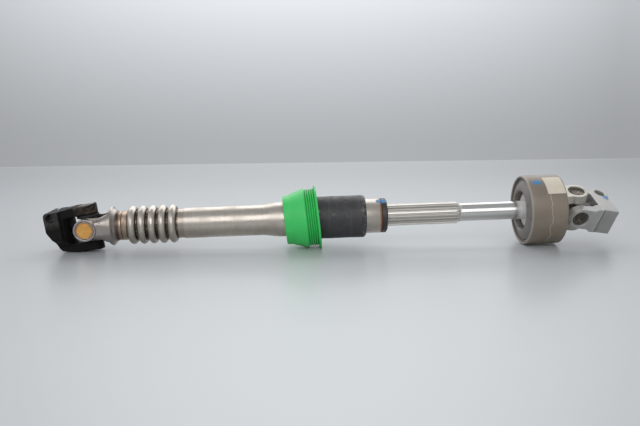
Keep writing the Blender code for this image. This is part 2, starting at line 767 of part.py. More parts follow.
def splined_shaft(shaft):
    """The solid inner shaft: a male spline that slides in the liner, then a plain length to the hub."""
    teeth = [spline_outline(SPLINE_TIP_RADIUS, SPLINE_ROOT_RADIUS, 0.0)]
    inner_shaft = plate("splined_shaft", teeth, "YZ", SPLINE_START, SPLINE_END, shaft)
    envelope = [
        (SPLINE_START, 0.0),
        (SPLINE_START, PLAIN_SHAFT_RADIUS),
        (SPLINE_START + SPLINE_CHAMFER, SPLINE_TIP_RADIUS + PRESS_GAP),
        (SPLINE_END - 2 * SPLINE_CHAMFER, SPLINE_TIP_RADIUS + PRESS_GAP),
        (SPLINE_END, PLAIN_SHAFT_RADIUS - PRESS_GAP),
        (SPLINE_END, 0.0),
    ]
    keep_inside(inner_shaft, turned("spline_envelope", envelope, shaft, FACETS_SPLINE_ENVELOPE))
    _, plate_start, _ = coupling_places()
    end = plate_start - 2 * SEAM_GAP
    root = SPLINE_END - 4 * SPLINE_CHAMFER
    join(inner_shaft, rod("plain_shaft", PLAIN_SHAFT_RADIUS, "X", root, end, shaft, facets=FACETS_TUBE))
    paint(inner_shaft, "bright_steel")


def coupling_places():
    """Where the cover ends and where the fork plate starts and ends along the shaft."""
    cover_end = COUPLING_START + COVER_RECESS + COVER_THICKNESS
    plate_end = COUPLING_START + COUPLING_LENGTH - FORK_PLATE_RECESS
    plate_start = plate_end - FORK_PLATE_THICKNESS
    return cover_end, plate_start, plate_end


def coupling(shaft):
    """The rubber coupling between the inner shaft and the upper fork."""
    cover_end, plate_start, _ = coupling_places()
    bore = COUPLING_RADIUS - COUPLING_RIM
    end = COUPLING_START + COUPLING_LENGTH
    ring = [
        (COUPLING_START, bore),
        (end, bore),
        (end, COUPLING_RADIUS - COUPLING_CHAMFER),
        (end - COUPLING_CHAMFER, COUPLING_RADIUS),
        (COUPLING_START + COUPLING_CHAMFER, COUPLING_RADIUS),
        (COUPLING_START, COUPLING_RADIUS - COUPLING_CHAMFER),
    ]
    paint(turned("coupling_ring", ring, shaft, FACETS_LARGE), "brown_coating")
    seat = bore - SEAM_GAP
    cover = COUPLING_START + COVER_RECESS
    front_cover = [
        (cover - COVER_DOME, COVER_HOLE_RADIUS + COUPLING_CHAMFER),
        (cover - COVER_DOME + COUPLING_CHAMFER, COVER_HOLE_RADIUS),
        (cover_end, COVER_HOLE_RADIUS),
        (cover_end, seat),
        (cover, seat),
    ]
    paint(turned("coupling_cover", front_cover, shaft, FACETS_LARGE), "grey_steel")
    hub = COUPLING_START + HUB_RECESS
    hub_bore = PLAIN_SHAFT_RADIUS + PRESS_GAP
    hub_end = plate_start - SEAM_GAP
    hub_profile = [
        (hub, hub_bore),
        (hub_end, hub_bore),
        (hub_end, HUB_RADIUS),
        (hub + COUPLING_CHAMFER, HUB_RADIUS),
        (hub, HUB_RADIUS - COUPLING_CHAMFER),
    ]
    paint(turned("coupling_hub", hub_profile, shaft, FACETS_TUBE), "grey_steel")
    rubber = cover_end + SEAM_GAP
    rubber_bore = HUB_RADIUS + SEAM_GAP
    rubber_ring = [(rubber, rubber_bore), (hub_end, rubber_bore), (hub_end, seat), (rubber, seat)]
    paint(turned("coupling_rubber", rubber_ring, shaft, FACETS_LARGE), "seal_rubber")


def upper_fork(fork_frame):
    """The fork plate that closes the coupling, with its ears along the trunnion axis Z of its own frame."""
    _, plate_start, plate_end = coupling_places()
    plate_start -= UPPER_JOINT_PLACE
    plate_end -= UPPER_JOINT_PLACE
    seat = COUPLING_RADIUS - COUPLING_RIM - SEAM_GAP
    disc = [(plate_start, 0.0), (plate_start, seat), (plate_end, seat), (plate_end, 0.0)]
    fork = turned("upper_fork", disc, fork_frame, FACETS_LARGE)
    inner = UPPER_JOINT.ear_inner
    outer = UPPER_EAR_OUTER
    root = plate_end - FORK_PLATE_THICKNESS / 2
    ears = [(root, FORK_ROOT_HALF_WIDTH)] + arc((0.0, 0.0), UPPER_EAR_RADIUS, FORK_WAIST_ANGLE, 0, 8)
    ears = plate("upper_fork_ears", [mirrored(ears)], "XY", -outer, outer, fork_frame)
    profile = [
        (root, outer),
        (UPPER_EAR_RADIUS - FORK_EAR_CHAMFER, outer),
        (UPPER_EAR_RADIUS, outer - FORK_EAR_CHAMFER),
    ]
    keep_inside(ears, plate("upper_fork_side", [mirrored(profile)], "XZ", -THROUGH, THROUGH, fork_frame))
    slot = block("upper_fork_slot", (plate_end, -THROUGH, -inner), (THROUGH, THROUGH, inner), fork_frame)
    bore = rod("upper_fork_bore", UPPER_JOINT.cup_radius + PRESS_GAP, "Z", -THROUGH, THROUGH, fork_frame)
    join(fork, ears)
    cut(fork, slot, bore)
    paint(fork, "pale_casting")
    for side, turn in (("top", TO_PLUS_Z), ("bottom", TO_MINUS_Z)):
        bearing_cup(f"upper_cup_{side}", UPPER_JOINT, fork_frame, turn, "bearing_steel")


def turning_outline(radius, ear):
    """Two ears turned to a radius, seen along the shaft. What lies under their edges is left whole."""
    start = math.degrees(math.acos(ear / radius))
    ears = arc((0.0, 0.0), radius, start, 180 - start, TURNING_STEPS)
    half = [(THROUGH, ears[0][1])] + ears + [(-THROUGH, ears[-1][1])]
    return half + [(a, -b) for a, b in reversed(half)]


def lower_clamp_yoke(frame):
    """The black forged yoke that clamps the steering gear's pinion, with its ears towards -Z and +Z."""
    outer = LOWER_EAR_OUTER
    ear = LOWER_CLAMP_EAR_RADIUS
    inner = LOWER_JOINT.ear_inner
    end = -LOWER_CLAMP_END
    lug_start = -(LOWER_CLAMP_END - LOWER_LUG_LENGTH)
    side = [
        (ear, -outer),
        (ear, outer),
        (-ear, outer),
        (lug_start, LOWER_CLAMP_TOP),
        (end + LOWER_NOSE_RUN, LOWER_CLAMP_TOP),
        (end + LOWER_NOSE_SETBACK, LOWER_CLAMP_TOP - LOWER_NOSE_DROP),
        (end, LOWER_CLAMP_TOP - LOWER_NOSE_FOOT),
        (end, LOWER_SHIN_PLACE),
        (end + LOWER_NOTCH_SETBACK, -LOWER_NOTCH_PLACE),
        (end + LOWER_CHIN_SETBACK, -LOWER_NOTCH_PLACE),
        (end + LOWER_CHIN_SETBACK, -LOWER_CLAMP_BOTTOM + LOWER_CHIN_CORNER),
        (end + LOWER_CHIN_RUN, -LOWER_CLAMP_BOTTOM),
        (-ear, -outer),
    ]
    yoke = plate("lower_clamp_yoke", [side], "XZ", -LOWER_LUG_HALF_WIDTH, LOWER_LUG_HALF_WIDTH, frame)
    plan = [
        (end, LOWER_LUG_HALF_WIDTH - LOWER_LUG_CORNER),
        (end + LOWER_LUG_CORNER, LOWER_LUG_HALF_WIDTH),
        (lug_start, LOWER_LUG_HALF_WIDTH),
        (lug_start + LOWER_LUG_STEP_RUN, LOWER_LUG_HALF_WIDTH - LOWER_LUG_STEP),
        (-LOWER_WAIST_PLACE, ear),
    ] + arc((0.0, 0.0), ear, 90, 0, 8)
    front = [
        (LOWER_LUG_HALF_WIDTH, THROUGH),
        (LOWER_LUG_HALF_WIDTH, -LOWER_CLAMP_BOTTOM / 3),
        (LOWER_LUG_HALF_WIDTH - LOWER_BELLY_CORNER, -LOWER_CLAMP_BOTTOM / 2),
        (ear, -LOWER_CLAMP_BOTTOM + LOWER_BELLY_CORNER),
        (ear, -THROUGH),
    ]
    front_outline = front + [(-y, z) for y, z in reversed(front)]
    ears = turning_outline(outer + LOWER_EAR_CROWN, ear)
    keep_inside(
        yoke,
        plate("lower_clamp_plan", [mirrored(plan)], "XY", -THROUGH, THROUGH, frame),
        plate("lower_clamp_front", [front_outline], "YZ", -THROUGH, THROUGH, frame),
        plate("lower_clamp_turning", [ears], "YZ", -THROUGH, THROUGH, frame),
    )
    room = swing_space(LOWER_EAR_RADIUS, inner, outer, LOWER_SWING_LIMIT, THROUGH)
    room = [(-x, y) for x, y in reversed(room)]
    slit_foot = -LOWER_JOINT.ear_inner - SWING_MARGIN - LOWER_SLIT_FOOT
    bolt = (-LOWER_BOLT_PLACE, LOWER_BOLT_HEIGHT)
    cut(
        yoke,
        plate("lower_clamp_throat", [room], "XY", -inner, inner, frame),
        rod("lower_clamp_bore", LOWER_BORE_DIAMETER / 2, "X", -THROUGH, 0.0, frame, facets=FACETS_TUBE),
        block(
            "lower_clamp_slit",
            (-THROUGH, -LOWER_SLIT / 2, 0.0),
            (slit_foot, LOWER_SLIT / 2, THROUGH),
            frame,
        ),
        rod("lower_bolt_tap", BOLT_TAP_DIAMETER / 2, "Y", -THROUGH, 0.0, frame, bolt),
        rod("lower_bolt_clearance", BOLT_CLEAR_DIAMETER / 2, "Y", 0.0, THROUGH, frame, bolt),
        rod("lower_clamp_cup_bore", LOWER_JOINT.cup_radius + PRESS_GAP, "Z", -THROUGH, THROUGH, frame),
    )
    paint(yoke, "black_coating")
    for name, turn in (("top", TO_PLUS_Z), ("bottom", TO_MINUS_Z)):
        bearing_cup(f"lower_cup_{name}", LOWER_JOINT, frame, turn, "yellow_zinc")


def upper_clamp_yoke(frame):
    """The block yoke that clamps the steering column, with its ears towards -Y and +Y."""
    outer = UPPER_EAR_OUTER
    inner = UPPER_JOINT.ear_inner
    height = UPPER_CLAMP_HALF_HEIGHT
    end = UPPER_CLAMP_END
    lug_end = UPPER_BOLT_PLACE + UPPER_LUG_RADIUS
    side = arc((0.0, 0.0), UPPER_EAR_RADIUS, 180, 90, 8)
    side += [
        (UPPER_SHOULDER_PLACE - UPPER_EAR_CORNER, UPPER_EAR_RADIUS),
        (UPPER_SHOULDER_PLACE, height),
        (max(end, lug_end), height),
    ]
    bolt = (UPPER_BOLT_PLACE, UPPER_BOLT_OFFSET)
    far = UPPER_BOLT_OFFSET + UPPER_LUG_RADIUS
    yoke = plate("upper_clamp_yoke", [mirrored(side)], "XZ", -outer, far, frame)
    reach = -UPPER_EAR_RADIUS
    plan = [
        (reach, -outer + UPPER_EAR_CORNER),
        (reach + UPPER_EAR_CORNER, -outer),
        (UPPER_STEP_PLACE, -outer),
        (UPPER_STEP_PLACE + UPPER_STEP_DEPTH, -outer + UPPER_STEP_DEPTH),
        (end, -outer + UPPER_STEP_DEPTH),
        (end, UPPER_BOLT_OFFSET - UPPER_LUG_RADIUS),
    ]
    plan += arc(bolt, UPPER_LUG_RADIUS, -30, 120, 10)
    plan += [(UPPER_THROAT - UPPER_THROAT_CORNER, outer), (reach + UPPER_EAR_CORNER, outer)]
    plan.append((reach, outer - UPPER_EAR_CORNER))
    keep_inside(yoke, plate("upper_clamp_plan", [plan], "XY", -THROUGH, THROUGH, frame))
    corner = UPPER_THROAT_CORNER
    throat = [(-THROUGH, inner)] + arc((UPPER_THROAT - corner, inner - corner), corner, 90, 0, 4)
    cut(
        yoke,
        plate("upper_clamp_throat", [mirrored(throat)], "XY", -THROUGH, THROUGH, frame),
        rod("upper_clamp_bore", UPPER_BORE_DIAMETER / 2, "X", 0.0, THROUGH, frame, facets=FACETS_TUBE),
        block("upper_clamp_slit", (0.0, 0.0, -UPPER_SLIT / 2), (THROUGH, THROUGH, UPPER_SLIT / 2), frame),
        rod("upper_bolt_clearance", BOLT_CLEAR_DIAMETER / 2, "Z", 0.0, THROUGH, frame, bolt),
        rod("upper_bolt_tap", BOLT_TAP_DIAMETER / 2, "Z", -THROUGH, 0.0, frame, bolt),
        rod("upper_clamp_cup_bore", UPPER_JOINT.cup_radius + PRESS_GAP, "Y", -THROUGH, THROUGH, frame),
    )
    paint(yoke, "aluminium")
    for name, turn in (("front", TO_MINUS_Y), ("rear", TO_PLUS_Y)):
        bearing_cup(f"upper_cup_{name}", UPPER_JOINT, frame, turn, "bearing_steel")


def world_points(names):
    """World positions of the evaluated vertices of the named objects."""
    bpy.context.view_layer.update()
    graph = bpy.context.evaluated_depsgraph_get()
    points = []
    for name in names:
        evaluated = bpy.data.objects[name].evaluated_get(graph)
        mesh = evaluated.to_mesh()
        points += [evaluated.matrix_world @ vertex.co for vertex in mesh.vertices]
        evaluated.to_mesh_clear()
    return points


def settle_on_table(assembly):
    """Lays the shaft down on the lower yoke and the coupling, with its box centred over the origin."""
    for _ in range(3):
        yoke = min(world_points(["lower_clamp_yoke"]), key=lambda point: point.z)
        ring = min(world_points(["coupling_ring"]), key=lambda point: point.z)
        assembly.rotation_euler.y += (ring.z - yoke.z) / (ring.x - yoke.x)
    points = world_points([obj.name for obj in PARTS.objects if obj.type == "MESH"])
    low = [min(point[axis] for point in points) for axis in range(3)]
    high = [max(point[axis] for point in points) for axis in range(3)]
    assembly.location = (-(low[0] + high[0]) / 2, -(low[1] + high[1]) / 2, -low[2])
    bpy.context.view_layer.update()


def build():
    shaft = new_frame("assembly")
    tube_yoke(shaft)
    corrugated_tube(shaft)
    spline_liner(shaft)
    wiper_ring(shaft)
    bearing_sleeve(shaft)
    seal_collar(shaft)
    splined_shaft(shaft)
    coupling(shaft)
    lower_frame = new_frame("lower_joint_frame", shaft, rotation=(0.0, -LOWER_DROOP, 0.0))
    cardan_cross("lower", LOWER_JOINT, lower_frame)
    lower_clamp_yoke(lower_frame)
    fork_frame = new_frame(
        "upper_fork_frame", shaft, (UPPER_JOINT_PLACE, 0.0, 0.0), (UPPER_ROLL, 0.0, 0.0)
    )
    upper_fork(fork_frame)
    cross_frame = new_frame("upper_cross_frame", fork_frame, rotation=(0.0, 0.0, UPPER_FORK_SWING))
    cardan_cross("upper", UPPER_JOINT, cross_frame)
    clamp_frame = new_frame("upper_clamp_frame", cross_frame, rotation=(0.0, UPPER_CLAMP_SWING, 0.0))
    upper_clamp_yoke(clamp_frame)
    settle_on_table(shaft)


build()
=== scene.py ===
"""Looks for the steering shaft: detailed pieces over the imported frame, their materials, lights and camera."""

import json
import math

import bmesh
import bpy
from mathutils import Matrix, Vector


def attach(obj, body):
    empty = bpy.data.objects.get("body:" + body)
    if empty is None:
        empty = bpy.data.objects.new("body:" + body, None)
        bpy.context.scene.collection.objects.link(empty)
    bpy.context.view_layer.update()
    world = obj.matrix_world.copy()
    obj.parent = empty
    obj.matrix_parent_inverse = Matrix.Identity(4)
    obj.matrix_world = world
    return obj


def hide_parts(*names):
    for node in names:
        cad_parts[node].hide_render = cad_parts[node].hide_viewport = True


MM = 0.001

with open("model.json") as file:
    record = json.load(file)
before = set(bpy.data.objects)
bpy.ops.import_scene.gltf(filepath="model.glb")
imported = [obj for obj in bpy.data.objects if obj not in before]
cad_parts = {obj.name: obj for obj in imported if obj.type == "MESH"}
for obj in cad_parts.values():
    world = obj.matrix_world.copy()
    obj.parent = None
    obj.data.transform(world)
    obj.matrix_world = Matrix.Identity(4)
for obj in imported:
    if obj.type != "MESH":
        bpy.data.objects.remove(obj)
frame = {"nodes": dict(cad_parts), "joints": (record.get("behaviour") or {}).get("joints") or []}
NODES = frame["nodes"]
JOINTS = {joint["name"]: joint for joint in frame["joints"]}
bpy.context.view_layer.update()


# Frames of the bodies, found again from the joints


def axes_frame(origin, x=None, y=None, z=None):
    """A matrix with these axes at an origin. Two axes are given, and the third follows."""
    if x is None:
        x = Vector(y).cross(Vector(z))
    if y is None:
        y = Vector(z).cross(Vector(x))
    if z is None:
        z = Vector(x).cross(Vector(y))
    rows = Matrix((Vector(x).normalized(), Vector(y).normalized(), Vector(z).normalized()))
    return Matrix.Translation(Vector(origin)) @ rows.transposed().to_4x4()


def joint_axis(name):
    return Vector(JOINTS[name]["axis"])


LOWER_CENTRE = Vector(JOINTS["lower_cross_pivot"]["pos_m"])
UPPER_CENTRE = Vector(JOINTS["upper_cross_pivot"]["pos_m"])
ALONG = joint_axis("telescope")
SHAFT = axes_frame(LOWER_CENTRE, x=ALONG, y=joint_axis("lower_cross_pivot"))
LOWER = axes_frame(LOWER_CENTRE, y=joint_axis("lower_cross_pivot"), z=joint_axis("lower_yoke_pivot"))
COLLAR = axes_frame(
    JOINTS["seal_collar_spin"]["pos_m"], x=joint_axis("seal_collar_spin"), y=joint_axis("lower_cross_pivot")
)
FORK = axes_frame(UPPER_CENTRE, x=ALONG, z=joint_axis("upper_cross_pivot"))
CROSS = axes_frame(UPPER_CENTRE, y=joint_axis("upper_yoke_pivot"), z=joint_axis("upper_cross_pivot"))
CLAMP_SWING = math.radians(13)
CLAMP = CROSS @ Matrix.Rotation(CLAMP_SWING, 4, "Y")


# Sizes, in millimetres

LOWER_EAR = 18.7
LOWER_EAR_INNER = 10.7
LOWER_EAR_RADIUS = 8.8
LOWER_CLAMP_EAR_RADIUS = 8.3
LOWER_CUP_BORE = 7.15
UPPER_EAR = 17.0
UPPER_EAR_INNER = 9.5
UPPER_EAR_RADIUS = 9.2
UPPER_CUP_BORE = 6.65
SWING_LIMIT = 30
SWING_MARGIN = 0.8
TAPPED_HOLE = 3.4
BOLT_HOLE = 4.3
SLIT_HALF = 1.3
CLAMP_BORE = 8.5
BEYOND = 60.0
ROUND_STEPS = 24

# A bearing cup's floor, closed end, bore, outer radius, mouth and the depth of its dish
LOWER_CUP = (16.7, 18.3, 5.8, 7.0, 11.2, 0.12)
UPPER_CUP = (14.0, 15.7, 5.3, 6.5, 10.0, 0.5)

TUBE_START = 27.3
TUBE_END = 237.0
NECK_RADIUS = 12.0
SLIM_RADIUS = 12.45
SLIDE_RADIUS = 14.2
TUBE_WALL = 1.7
FIRST_CREST = 35.2
CREST_PITCH = 8.05
SLEEVE_START = 159.5
SLEEVE_END = 224.4
SLEEVE_BORE = 14.3
COLLAR_HALF = 13.4
RIB_PITCH = 7.8 / 4.5
SPLINE_TIP = 9.0
SPLINE_ROOT = 8.0
SPLINE_TEETH = 20
SHAFT_RADIUS = 7.5
RING_START = 355.2
RING_END = 384.7
RING_BORE = 26.8
RING_RADIUS = 28.7
SEAM_PLACE = 371.4


# Mesh helpers


def added(name, data):
    """A new object in the scene."""
    obj = bpy.data.objects.new(name, data)
    bpy.context.scene.collection.objects.link(obj)
    return obj


def finish_mesh(name, mesh, matrix, body, material, angle, replaced=None):
    """Places a mesh, smooths it, gives it its material and lets it ride on its body.

    Its points keep their place in the piece's own axes as an attribute, which the material reads.
    """
    mesh.name = name
    points = [0.0] * (3 * len(mesh.vertices))
    mesh.vertices.foreach_get("co", points)
    own = mesh.attributes.new("own_place", "FLOAT_VECTOR", "POINT")
    own.data.foreach_set("vector", points)
    mesh.transform(matrix)
    obj = added(name, mesh)
    for polygon in mesh.polygons:
        polygon.use_smooth = True
    mesh.set_sharp_from_angle(angle=math.radians(angle))
    mesh.materials.clear()
    mesh.materials.append(MATERIALS[material])
    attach(obj, body)
    if replaced:
        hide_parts(replaced)


def area_of(outline):
    return sum(a[0] * b[1] - b[0] * a[1] for a, b in zip(outline, outline[1:] + outline[:1])) / 2


def softened(points, radius, closed=True, steps=4):
    """The outline with each corner rounded by about that radius."""
    rounded = []
    count = len(points)
    for i, point in enumerate(points):
        ends = not closed and i in (0, count - 1)
        if ends or abs(point[1]) < 1e-9:
            rounded.append(point)
            continue
        here = Vector(point)
        before = Vector(points[i - 1]) - here
        after = Vector(points[(i + 1) % count]) - here
        turn = math.pi - before.angle(after, math.pi)
        if turn < math.radians(12):
            rounded.append(point)
            continue
        reach = min(radius * math.tan(turn / 2), 0.45 * before.length, 0.45 * after.length)
        start = here + before.normalized() * reach
        end = here + after.normalized() * reach
        for k in range(steps + 1):
            t = k / steps
            spot = start * (1 - t) ** 2 + here * 2 * t * (1 - t) + end * t * t
            rounded.append((spot.x, spot.y))
    return rounded


def mesh_from(shape, name):
    """The mesh of finished bmesh work, with its faces turned outwards."""
    bmesh.ops.recalc_face_normals(shape, faces=shape.faces)
    mesh = bpy.data.meshes.new(name)
    shape.to_mesh(mesh)
    shape.free()
    return mesh


def around(shape, x, radius, angle):
    """A new point at this radius and angle about X."""
    return shape.verts.new((x * MM, radius * math.cos(angle) * MM, radius * math.sin(angle) * MM))


def bridge(shape, rings):
    """Faces between each ring of points and the next. A ring may be one point on the axis."""
    for a, b in zip(rings, rings[1:]):
        count = max(len(a), len(b))
        for k in range(count if count > 1 else 0):
            n = (k + 1) % count
            corners = (a[k % len(a)], a[n % len(a)], b[n % len(b)], b[k % len(b)])
            shape.faces.new(list(dict.fromkeys(corners)))


def turned_mesh(profile, segments, wobble=None):
    """A mesh turned about X from (x, radius) points in millimetres.

    Wobble gives a radius change for an x, an angle and a radius.
    """
    on_axis = profile[0][1] == profile[-1][1] == 0.0
    if area_of(profile) < 0.0:
        profile = profile[::-1]
    shape = bmesh.new()
    rings = []
    for x, radius in profile:
        ring = []
        for k in range(segments if radius else 1):
            angle = 2 * math.pi * k / segments
            ring.append(around(shape, x, radius + (wobble(x, angle, radius) if wobble else 0.0), angle))
        rings.append(ring)
    bridge(shape, rings if on_axis else rings + rings[:1])
    return mesh_from(shape, "turned")


def arc(centre, radius, start, end, steps):
    angles = [math.radians(start + (end - start) * i / steps) for i in range(steps + 1)]
    return [(centre[0] + radius * math.cos(a), centre[1] + radius * math.sin(a)) for a in angles]


def mirrored(half):
    return half + [(a, -b) for a, b in reversed(half) if abs(b) > 1e-6]


QUARTER = math.pi / 2
PLANES = {
    "XY": Matrix.Identity(4),
    "XZ": Matrix.Rotation(QUARTER, 4, "X"),
    "YZ": Matrix.Rotation(QUARTER, 4, "Z") @ Matrix.Rotation(QUARTER, 4, "X"),
}
TURNS = {
    "+X": Matrix.Identity(4),
    "+Y": Matrix.Rotation(QUARTER, 4, "Z"),
    "-Y": Matrix.Rotation(-QUARTER, 4, "Z"),
    "+Z": Matrix.Rotation(-QUARTER, 4, "Y"),
    "-Z": Matrix.Rotation(QUARTER, 4, "Y"),
}


def loose(mesh, turn=None):
    """An object for a mesh that takes part in a Boolean."""
    if turn is not None:
        mesh.transform(turn)
    return added("tool", mesh)


def prism(outline, plane, low, high):
    """An outline in millimetres, pushed from low to high along the third axis."""
    if area_of(outline) < 0.0:
        outline = outline[::-1]
    sign = -1.0 if plane == "XZ" else 1.0
    shape = bmesh.new()
    bottom = [shape.verts.new((a * MM, b * MM, sign * low * MM)) for a, b in outline]
    top = [shape.verts.new((a * MM, b * MM, sign * high * MM)) for a, b in outline]
    shape.faces.new(bottom)
    shape.faces.new(top)
    for i in range(len(outline)):
        n = (i + 1) % len(outline)
        shape.faces.new((bottom[i], bottom[n], top[n], top[i]))
    return loose(mesh_from(shape, "prism"), PLANES[plane])


def rod(radius, axis, low, high, centre=(0.0, 0.0), segments=96):
    """A cylinder along X, Y or Z, in millimetres."""
    profile = [(low, 0.0), (low, radius), (high, radius), (high, 0.0)]
    places = {"X": (0.0, *centre), "Y": (centre[0], 0.0, centre[1]), "Z": (*centre, 0.0)}
    shift = Matrix.Translation(Vector(places[axis]) * MM)
    return loose(turned_mesh(profile, segments), shift @ TURNS["+" + axis])


def swing_space(reach, inner, outer):
    """The outline that the other yoke's ear sweeps, open backwards."""
    cosine, sine = math.cos(math.radians(SWING_LIMIT)), math.sin(math.radians(SWING_LIMIT))
    nose = (reach * cosine + inner * sine + SWING_MARGIN, inner * cosine - reach * sine)
    heel = (reach * cosine + outer * sine + SWING_MARGIN, outer * cosine - reach * sine)
    radius = math.hypot(reach, outer) + SWING_MARGIN
    heel_angle = math.degrees(math.atan2(heel[1], heel[0]))
    return mirrored([(-BEYOND, radius)] + arc((0.0, 0.0), radius, 90, heel_angle, 12) + [heel, nose])


def carved(base, steps, voxel=0.0, smooth=0):
    """The base after its Boolean steps, each an operation and a tool.

    Where voxel isn't zero, the result is remeshed and smoothed, so that its edges turn round.
    """
    for operation, tool in steps:
        modifier = base.modifiers.new("step", "BOOLEAN")
        modifier.operation = operation
        modifier.solver = "EXACT"
        modifier.object = tool
        tool.hide_render = True
    if voxel:
        remesh = base.modifiers.new("voxels", "REMESH")
        remesh.mode = "VOXEL"
        remesh.voxel_size = voxel * MM
        soft = base.modifiers.new("soft", "SMOOTH")
        soft.factor = 0.5
        soft.iterations = smooth
    bpy.context.view_layer.update()
    graph = bpy.context.evaluated_depsgraph_get()
    mesh = bpy.data.meshes.new_from_object(base.evaluated_get(graph))
    for obj in [base] + [tool for _, tool in steps]:
        bpy.data.objects.remove(obj, do_unlink=True)
    return mesh


# Materials


class Finish:
    """A procedural material that is built up in layers over one Principled shader.

    It reads the place that finish_mesh keeps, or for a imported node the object's own coordinates.
    """

    def __init__(self, name, colour, metallic, roughness, packed=False, **sockets):
        self.material = bpy.data.materials.new(name)
        self.material.use_nodes = True
        self.tree = self.material.node_tree
        self.shader = self.tree.nodes["Principled BSDF"]
        for socket, value in sockets.items():
            self.shader.inputs[socket.replace("_", " ")].default_value = value
        self.colour = (*colour, 1.0)
        self.rough = roughness
        self.metal = metallic
        self.normal = None
        if packed:
            self.place = self.node("ShaderNodeTexCoord").outputs["Object"]
        else:
            self.place = self.node("ShaderNodeAttribute", attribute_name="own_place").outputs["Vector"]
        self.parts = None

    def node(self, kind, **settings):
        made = self.tree.nodes.new(kind)
        for key, value in settings.items():
            setattr(made, key, value)
        return made

    def feed(self, socket, value):
        if isinstance(value, bpy.types.NodeSocket):
            self.tree.links.new(value, socket)
        else:
            socket.default_value = value

    def math(self, operation, a, b=0.0, clamp=False):
        made = self.node("ShaderNodeMath", operation=operation, use_clamp=clamp)
        self.feed(made.inputs[0], a)
        self.feed(made.inputs[1], b)
        return made.outputs[0]

    def times(self, *factors):
        product = factors[0]
        for factor in factors[1:]:
            product = self.math("MULTIPLY", product, factor)
        return product

    def axis(self, index):
        if self.parts is None:
            self.parts = self.node("ShaderNodeSeparateXYZ")
            self.feed(self.parts.inputs[0], self.place)
        return self.parts.outputs[index]

    def radius(self):
        y, z = self.axis(1), self.axis(2)
        return self.math("SQRT", self.math("ADD", self.times(y, y), self.times(z, z)))

    def angle(self):
        """Turn about X in degrees, 0 at +Z and growing towards -Y, the side that the photograph shows."""
        turn = self.math("ARCTAN2", self.times(self.axis(1), -1.0), self.axis(2))
        return self.times(turn, 180.0 / math.pi)

    def noise(self, size, detail=4.0, rough=0.55, stretch=(1.0, 1.0, 1.0), warp=0.0, seed=0.0):
        """Noise whose lumps are about that many millimetres across."""
        mapping = self.node("ShaderNodeMapping")
        self.feed(mapping.inputs["Vector"], self.place)
        mapping.inputs["Scale"].default_value = stretch
        mapping.inputs["Location"].default_value = (seed, seed * 0.7, -seed)
        made = self.node("ShaderNodeTexNoise")
        self.feed(made.inputs["Vector"], mapping.outputs[0])
        numbers = {"Scale": 1.0 / (size * MM), "Detail": detail, "Roughness": rough, "Distortion": warp}
        for socket, number in numbers.items():
            made.inputs[socket].default_value = number
        return made.outputs["Fac"]

    def span(self, value, low, high, to_low=0.0, to_high=1.0, smooth=True):
        """The value spread from low and high to the two new ends, held outside them."""
        made = self.node("ShaderNodeMapRange", interpolation_type="SMOOTHSTEP" if smooth else "LINEAR")
        for socket, given in zip(made.inputs[:5], (value, low, high, to_low, to_high)):
            self.feed(socket, given)
        return made.outputs["Result"]

    def below(self, value, low, high):
        """One below low, fading to zero at high."""
        return self.span(value, low, high, 1.0, 0.0)

    def between(self, value, low, high, soft):
        """One between low and high, fading over soft on each side."""
        rise = self.span(value, low - soft, low + soft)
        fall = self.below(value, high - soft, high + soft)
        return self.times(rise, fall)

    def paint(self, mask, colour, amount=None):
        mix = self.node("ShaderNodeMix", data_type="RGBA")
        self.feed(mix.inputs[0], mask if amount is None else self.times(mask, amount))
        self.feed(mix.inputs[6], self.colour)
        self.feed(mix.inputs[7], (*colour, 1.0))
        self.colour = mix.outputs[2]

    def mottle(self, noise, low, high, amount, colour):
        """Paints the colour where the noise is high, by up to that amount."""
        self.paint(self.span(noise, low, high, 0.0, amount), colour)

    def blend_value(self, mask, old, new):
        mix = self.node("ShaderNodeMix", data_type="FLOAT")
        self.feed(mix.inputs[0], mask)
        self.feed(mix.inputs[2], old)
        self.feed(mix.inputs[3], new)
        return mix.outputs[0]

    def matt(self, mask, roughness):
        self.rough = self.blend_value(mask, self.rough, roughness)

    def metallic(self, mask, value):
        self.metal = self.blend_value(mask, self.metal, value)

    def bump(self, height, depth):
        """Raises the surface by up to depth millimetres where height is one."""
        made = self.node("ShaderNodeBump")
        made.inputs["Distance"].default_value = depth * MM
        self.feed(made.inputs["Height"], height)
        if self.normal is not None:
            self.feed(made.inputs["Normal"], self.normal)
        self.normal = made.outputs[0]

    def dab(self, x, y, middle, half, seed):
        """A brushed dab of paint over two sockets, from their values at its middle and its half sizes."""
        a = self.math("DIVIDE", self.math("SUBTRACT", x, middle[0]), half[0])
        b = self.math("DIVIDE", self.math("SUBTRACT", y, middle[1]), half[1])
        far = self.math("SQRT", self.math("ADD", self.times(a, a), self.times(b, b)))
        edge = self.math("MULTIPLY_ADD", self.noise(1.6, 3.0, seed=seed), RAGGED)
        edge.node.inputs[2].default_value = 1.0 - RAGGED / 2
        return self.below(self.math("SUBTRACT", far, edge), -0.10, 0.10)

    def done(self):
        """The material, once its colour, gloss and relief are on the shader's own sockets."""
        for socket, value in (("Base Color", self.colour), ("Roughness", self.rough), ("Metallic", self.metal)):
            self.feed(self.shader.inputs[socket], value)
        if self.normal is not None:
            self.feed(self.shader.inputs["Normal"], self.normal)
        return self.material


BLUE_PAINT = (0.050, 0.205, 0.41)
WELD_TINT = (0.42, 0.27, 0.17)
RAGGED = 0.35


